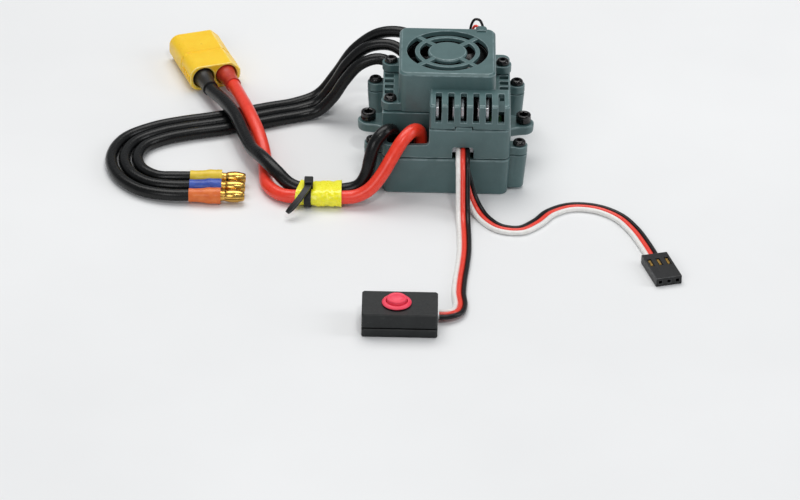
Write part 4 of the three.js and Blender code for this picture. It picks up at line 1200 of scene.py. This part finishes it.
# ---- switch: a two-part box, a rubber rim and the domed button
switchBox = {
    "edge": 0.3, "bore": 3.02, "dome": 2.86, "round": 0.4,
    "crown": [(2.2, 0.17), (2.02, 0.25), (1.84, 0.18), (1.5, 0.08), (0.8, 0.02), (0, 0)],
}


def makeSwitch():
    for node in ("switch_base", "switch_cover"):
        shape = benchCopy(node)
        softenEdges(shape, switchBox["edge"], 3, over=50)
        finishPiece(f"{node}_moulded", shape, "switchPlastic", node, even=True)
    low, high = span("switch_bezel")
    inner = switchBox["bore"]
    outer = (high.x - low.x) / 2
    rim = [
        (inner, low.z), (outer - 0.1, low.z), (outer, low.z + 0.12), (outer, high.z - 0.62),
        (outer - 0.12, high.z - 0.42), (outer - 0.35, high.z - 0.3), (inner + 0.42, high.z - 0.02),
        (inner + 0.22, high.z), (inner + 0.06, high.z - 0.1), (inner, high.z - 0.35), (inner, low.z),
    ]
    centre = middle("switch_bezel")
    place = Matrix.Translation((centre.x, centre.y, 0))
    finishPiece(
        "switch_bezel_ring", moveShape(spun(rim, 56), place), "buttonRubber", "switch_bezel")
    low, high = span("switch_button")
    foot = (high.x - low.x) / 2
    dome, soft = switchBox["dome"], switchBox["round"]
    shoulder = high.z - 0.15 - soft
    crown = [
        (0, low.z), (foot - 0.1, low.z), (foot, low.z + 0.1), (foot, low.z + 0.6), (dome, low.z + 0.7),
    ]
    for i in range(6):
        turn = i * math.pi / 10
        crown.append((dome - soft + soft * math.cos(turn), shoulder + soft * math.sin(turn)))
    for radius, drop in switchBox["crown"]:
        crown.append((radius, high.z - drop))
    finishPiece(
        "switch_button_dome", moveShape(spun(crown, 56), place), "buttonRubber", "switch_button",
        body="button")


makeSwitch()
print("switch built")


# ---- fan's own thin leads, over the cowl's rear edge and down into the case
fanLeads = {
    "black": [
        (10.6, 35.3, 34.2), (10.6, 38.1, 34.2), (10.3, 39.8, 35.2), (9.4, 41, 36.3), (8, 41.4, 36.2),
        (7, 41.5, 34.2), (6.7, 41.6, 30), (6.6, 41.6, 25), (6.6, 41.6, 20.9),
    ],
    "red": [
        (9.5, 35.3, 34.2), (9.5, 38.1, 34.2), (9.1, 39.1, 34.8), (8.4, 39.7, 35), (7.7, 40.2, 34.2),
        (7.6, 40.6, 31), (7.8, 41, 27.5), (7.8, 41.4, 24), (7.8, 41.6, 20.9),
    ],
}
for colour, route in fanLeads.items():
    makeRoundCord(f"fan_lead_{colour}_cord", route, 0.8, f"{colour}Silicone", 0.35, 12)


# ---- pieces that keep their CAD shape
keptCoats = {
    "thermal_pad": "padSilicone", "power_board": "boardMask", "control_board": "boardMask",
    "power_transistors": "chipResin", "fan_shaft": "brightSteel", "fan_bearing": "gold",
    "fan_coil": "coilCopper", "switch_contact": "chipResin",
}
for node in cadNodes:
    coat = "tin" if "terminal" in node else keptCoats.get(node)
    if coat:
        cadNodes[node].data.materials.clear()
        cadNodes[node].data.materials.append(finishes[coat])


# ---- the motor leads' settings, looked up in turn
for which, (cord, points) in motorCords.items():
    lead = motor["leads"][which]


# ---- the bench top and the studio light
stage = {
    "floorSize": 6000, "colour": paint(236, 237, 238), "tone": paint(231, 232, 233),
    "sky": (0.9, 0.93, 0.97, 1), "skyStrength": 0.28,
    "lights": {
        "overhead": {"at": (-100, 350, 900), "size": (900, 700), "watts": 6.4, "tint": (1, 0.99, 0.97)},
        "frontFill": {"at": (-500, -1100, 700), "size": (700, 500), "watts": 3.6, "tint": (1, 1, 1)},
        "sparkle": {"at": (160, -500, 900), "size": (110, 80), "watts": 1.5, "tint": (1, 0.99, 0.97)},
        "rightEdge": {"at": (900, -100, 500), "size": (300, 600), "watts": 2.2, "tint": (0.97, 0.98, 1)},
    },
}


def makeStage():
    shape = bmesh.new()
    bmesh.ops.create_grid(shape, x_segments=4, y_segments=4, size=stage["floorSize"] / 2)
    bmesh.ops.transform(shape, matrix=benchToWorld, verts=shape.verts)
    mesh = bpy.data.meshes.new("benchTop")
    shape.to_mesh(mesh)
    shape.free()
    look = {
        "colour": stage["colour"], "tone": stage["tone"], "blotch": 6, "gloss": (0.55, 0.7),
        "glossScale": 40, "grain": (900, 0.05, 0.05), "shine": 0.3,
    }
    mesh.materials.append(makeFinish("benchPaper", look))
    floor = bpy.data.objects.new("benchTop", mesh)
    bpy.context.scene.collection.objects.link(floor)
    for name, light in stage["lights"].items():
        data = bpy.data.lights.new(name, "AREA")
        data.shape = "RECTANGLE"
        data.size, data.size_y = (side * mm for side in light["size"])
        data.energy = light["watts"]
        data.color = light["tint"]
        lamp = bpy.data.objects.new(name, data)
        bpy.context.scene.collection.objects.link(lamp)
        place = benchToWorld @ Vector(light["at"])
        lamp.location = place
        lamp.rotation_euler = (-place).to_track_quat("-Z", "Y").to_euler()
    world = bpy.data.worlds.new("studio")
    bpy.context.scene.world = world
    world.use_nodes = True
    sky = world.node_tree.nodes["Background"]
    sky.inputs["Color"].default_value = stage["sky"]
    sky.inputs["Strength"].default_value = stage["skyStrength"]
    bpy.context.scene.view_settings.view_transform = "Standard"


makeStage()
print("stage set")
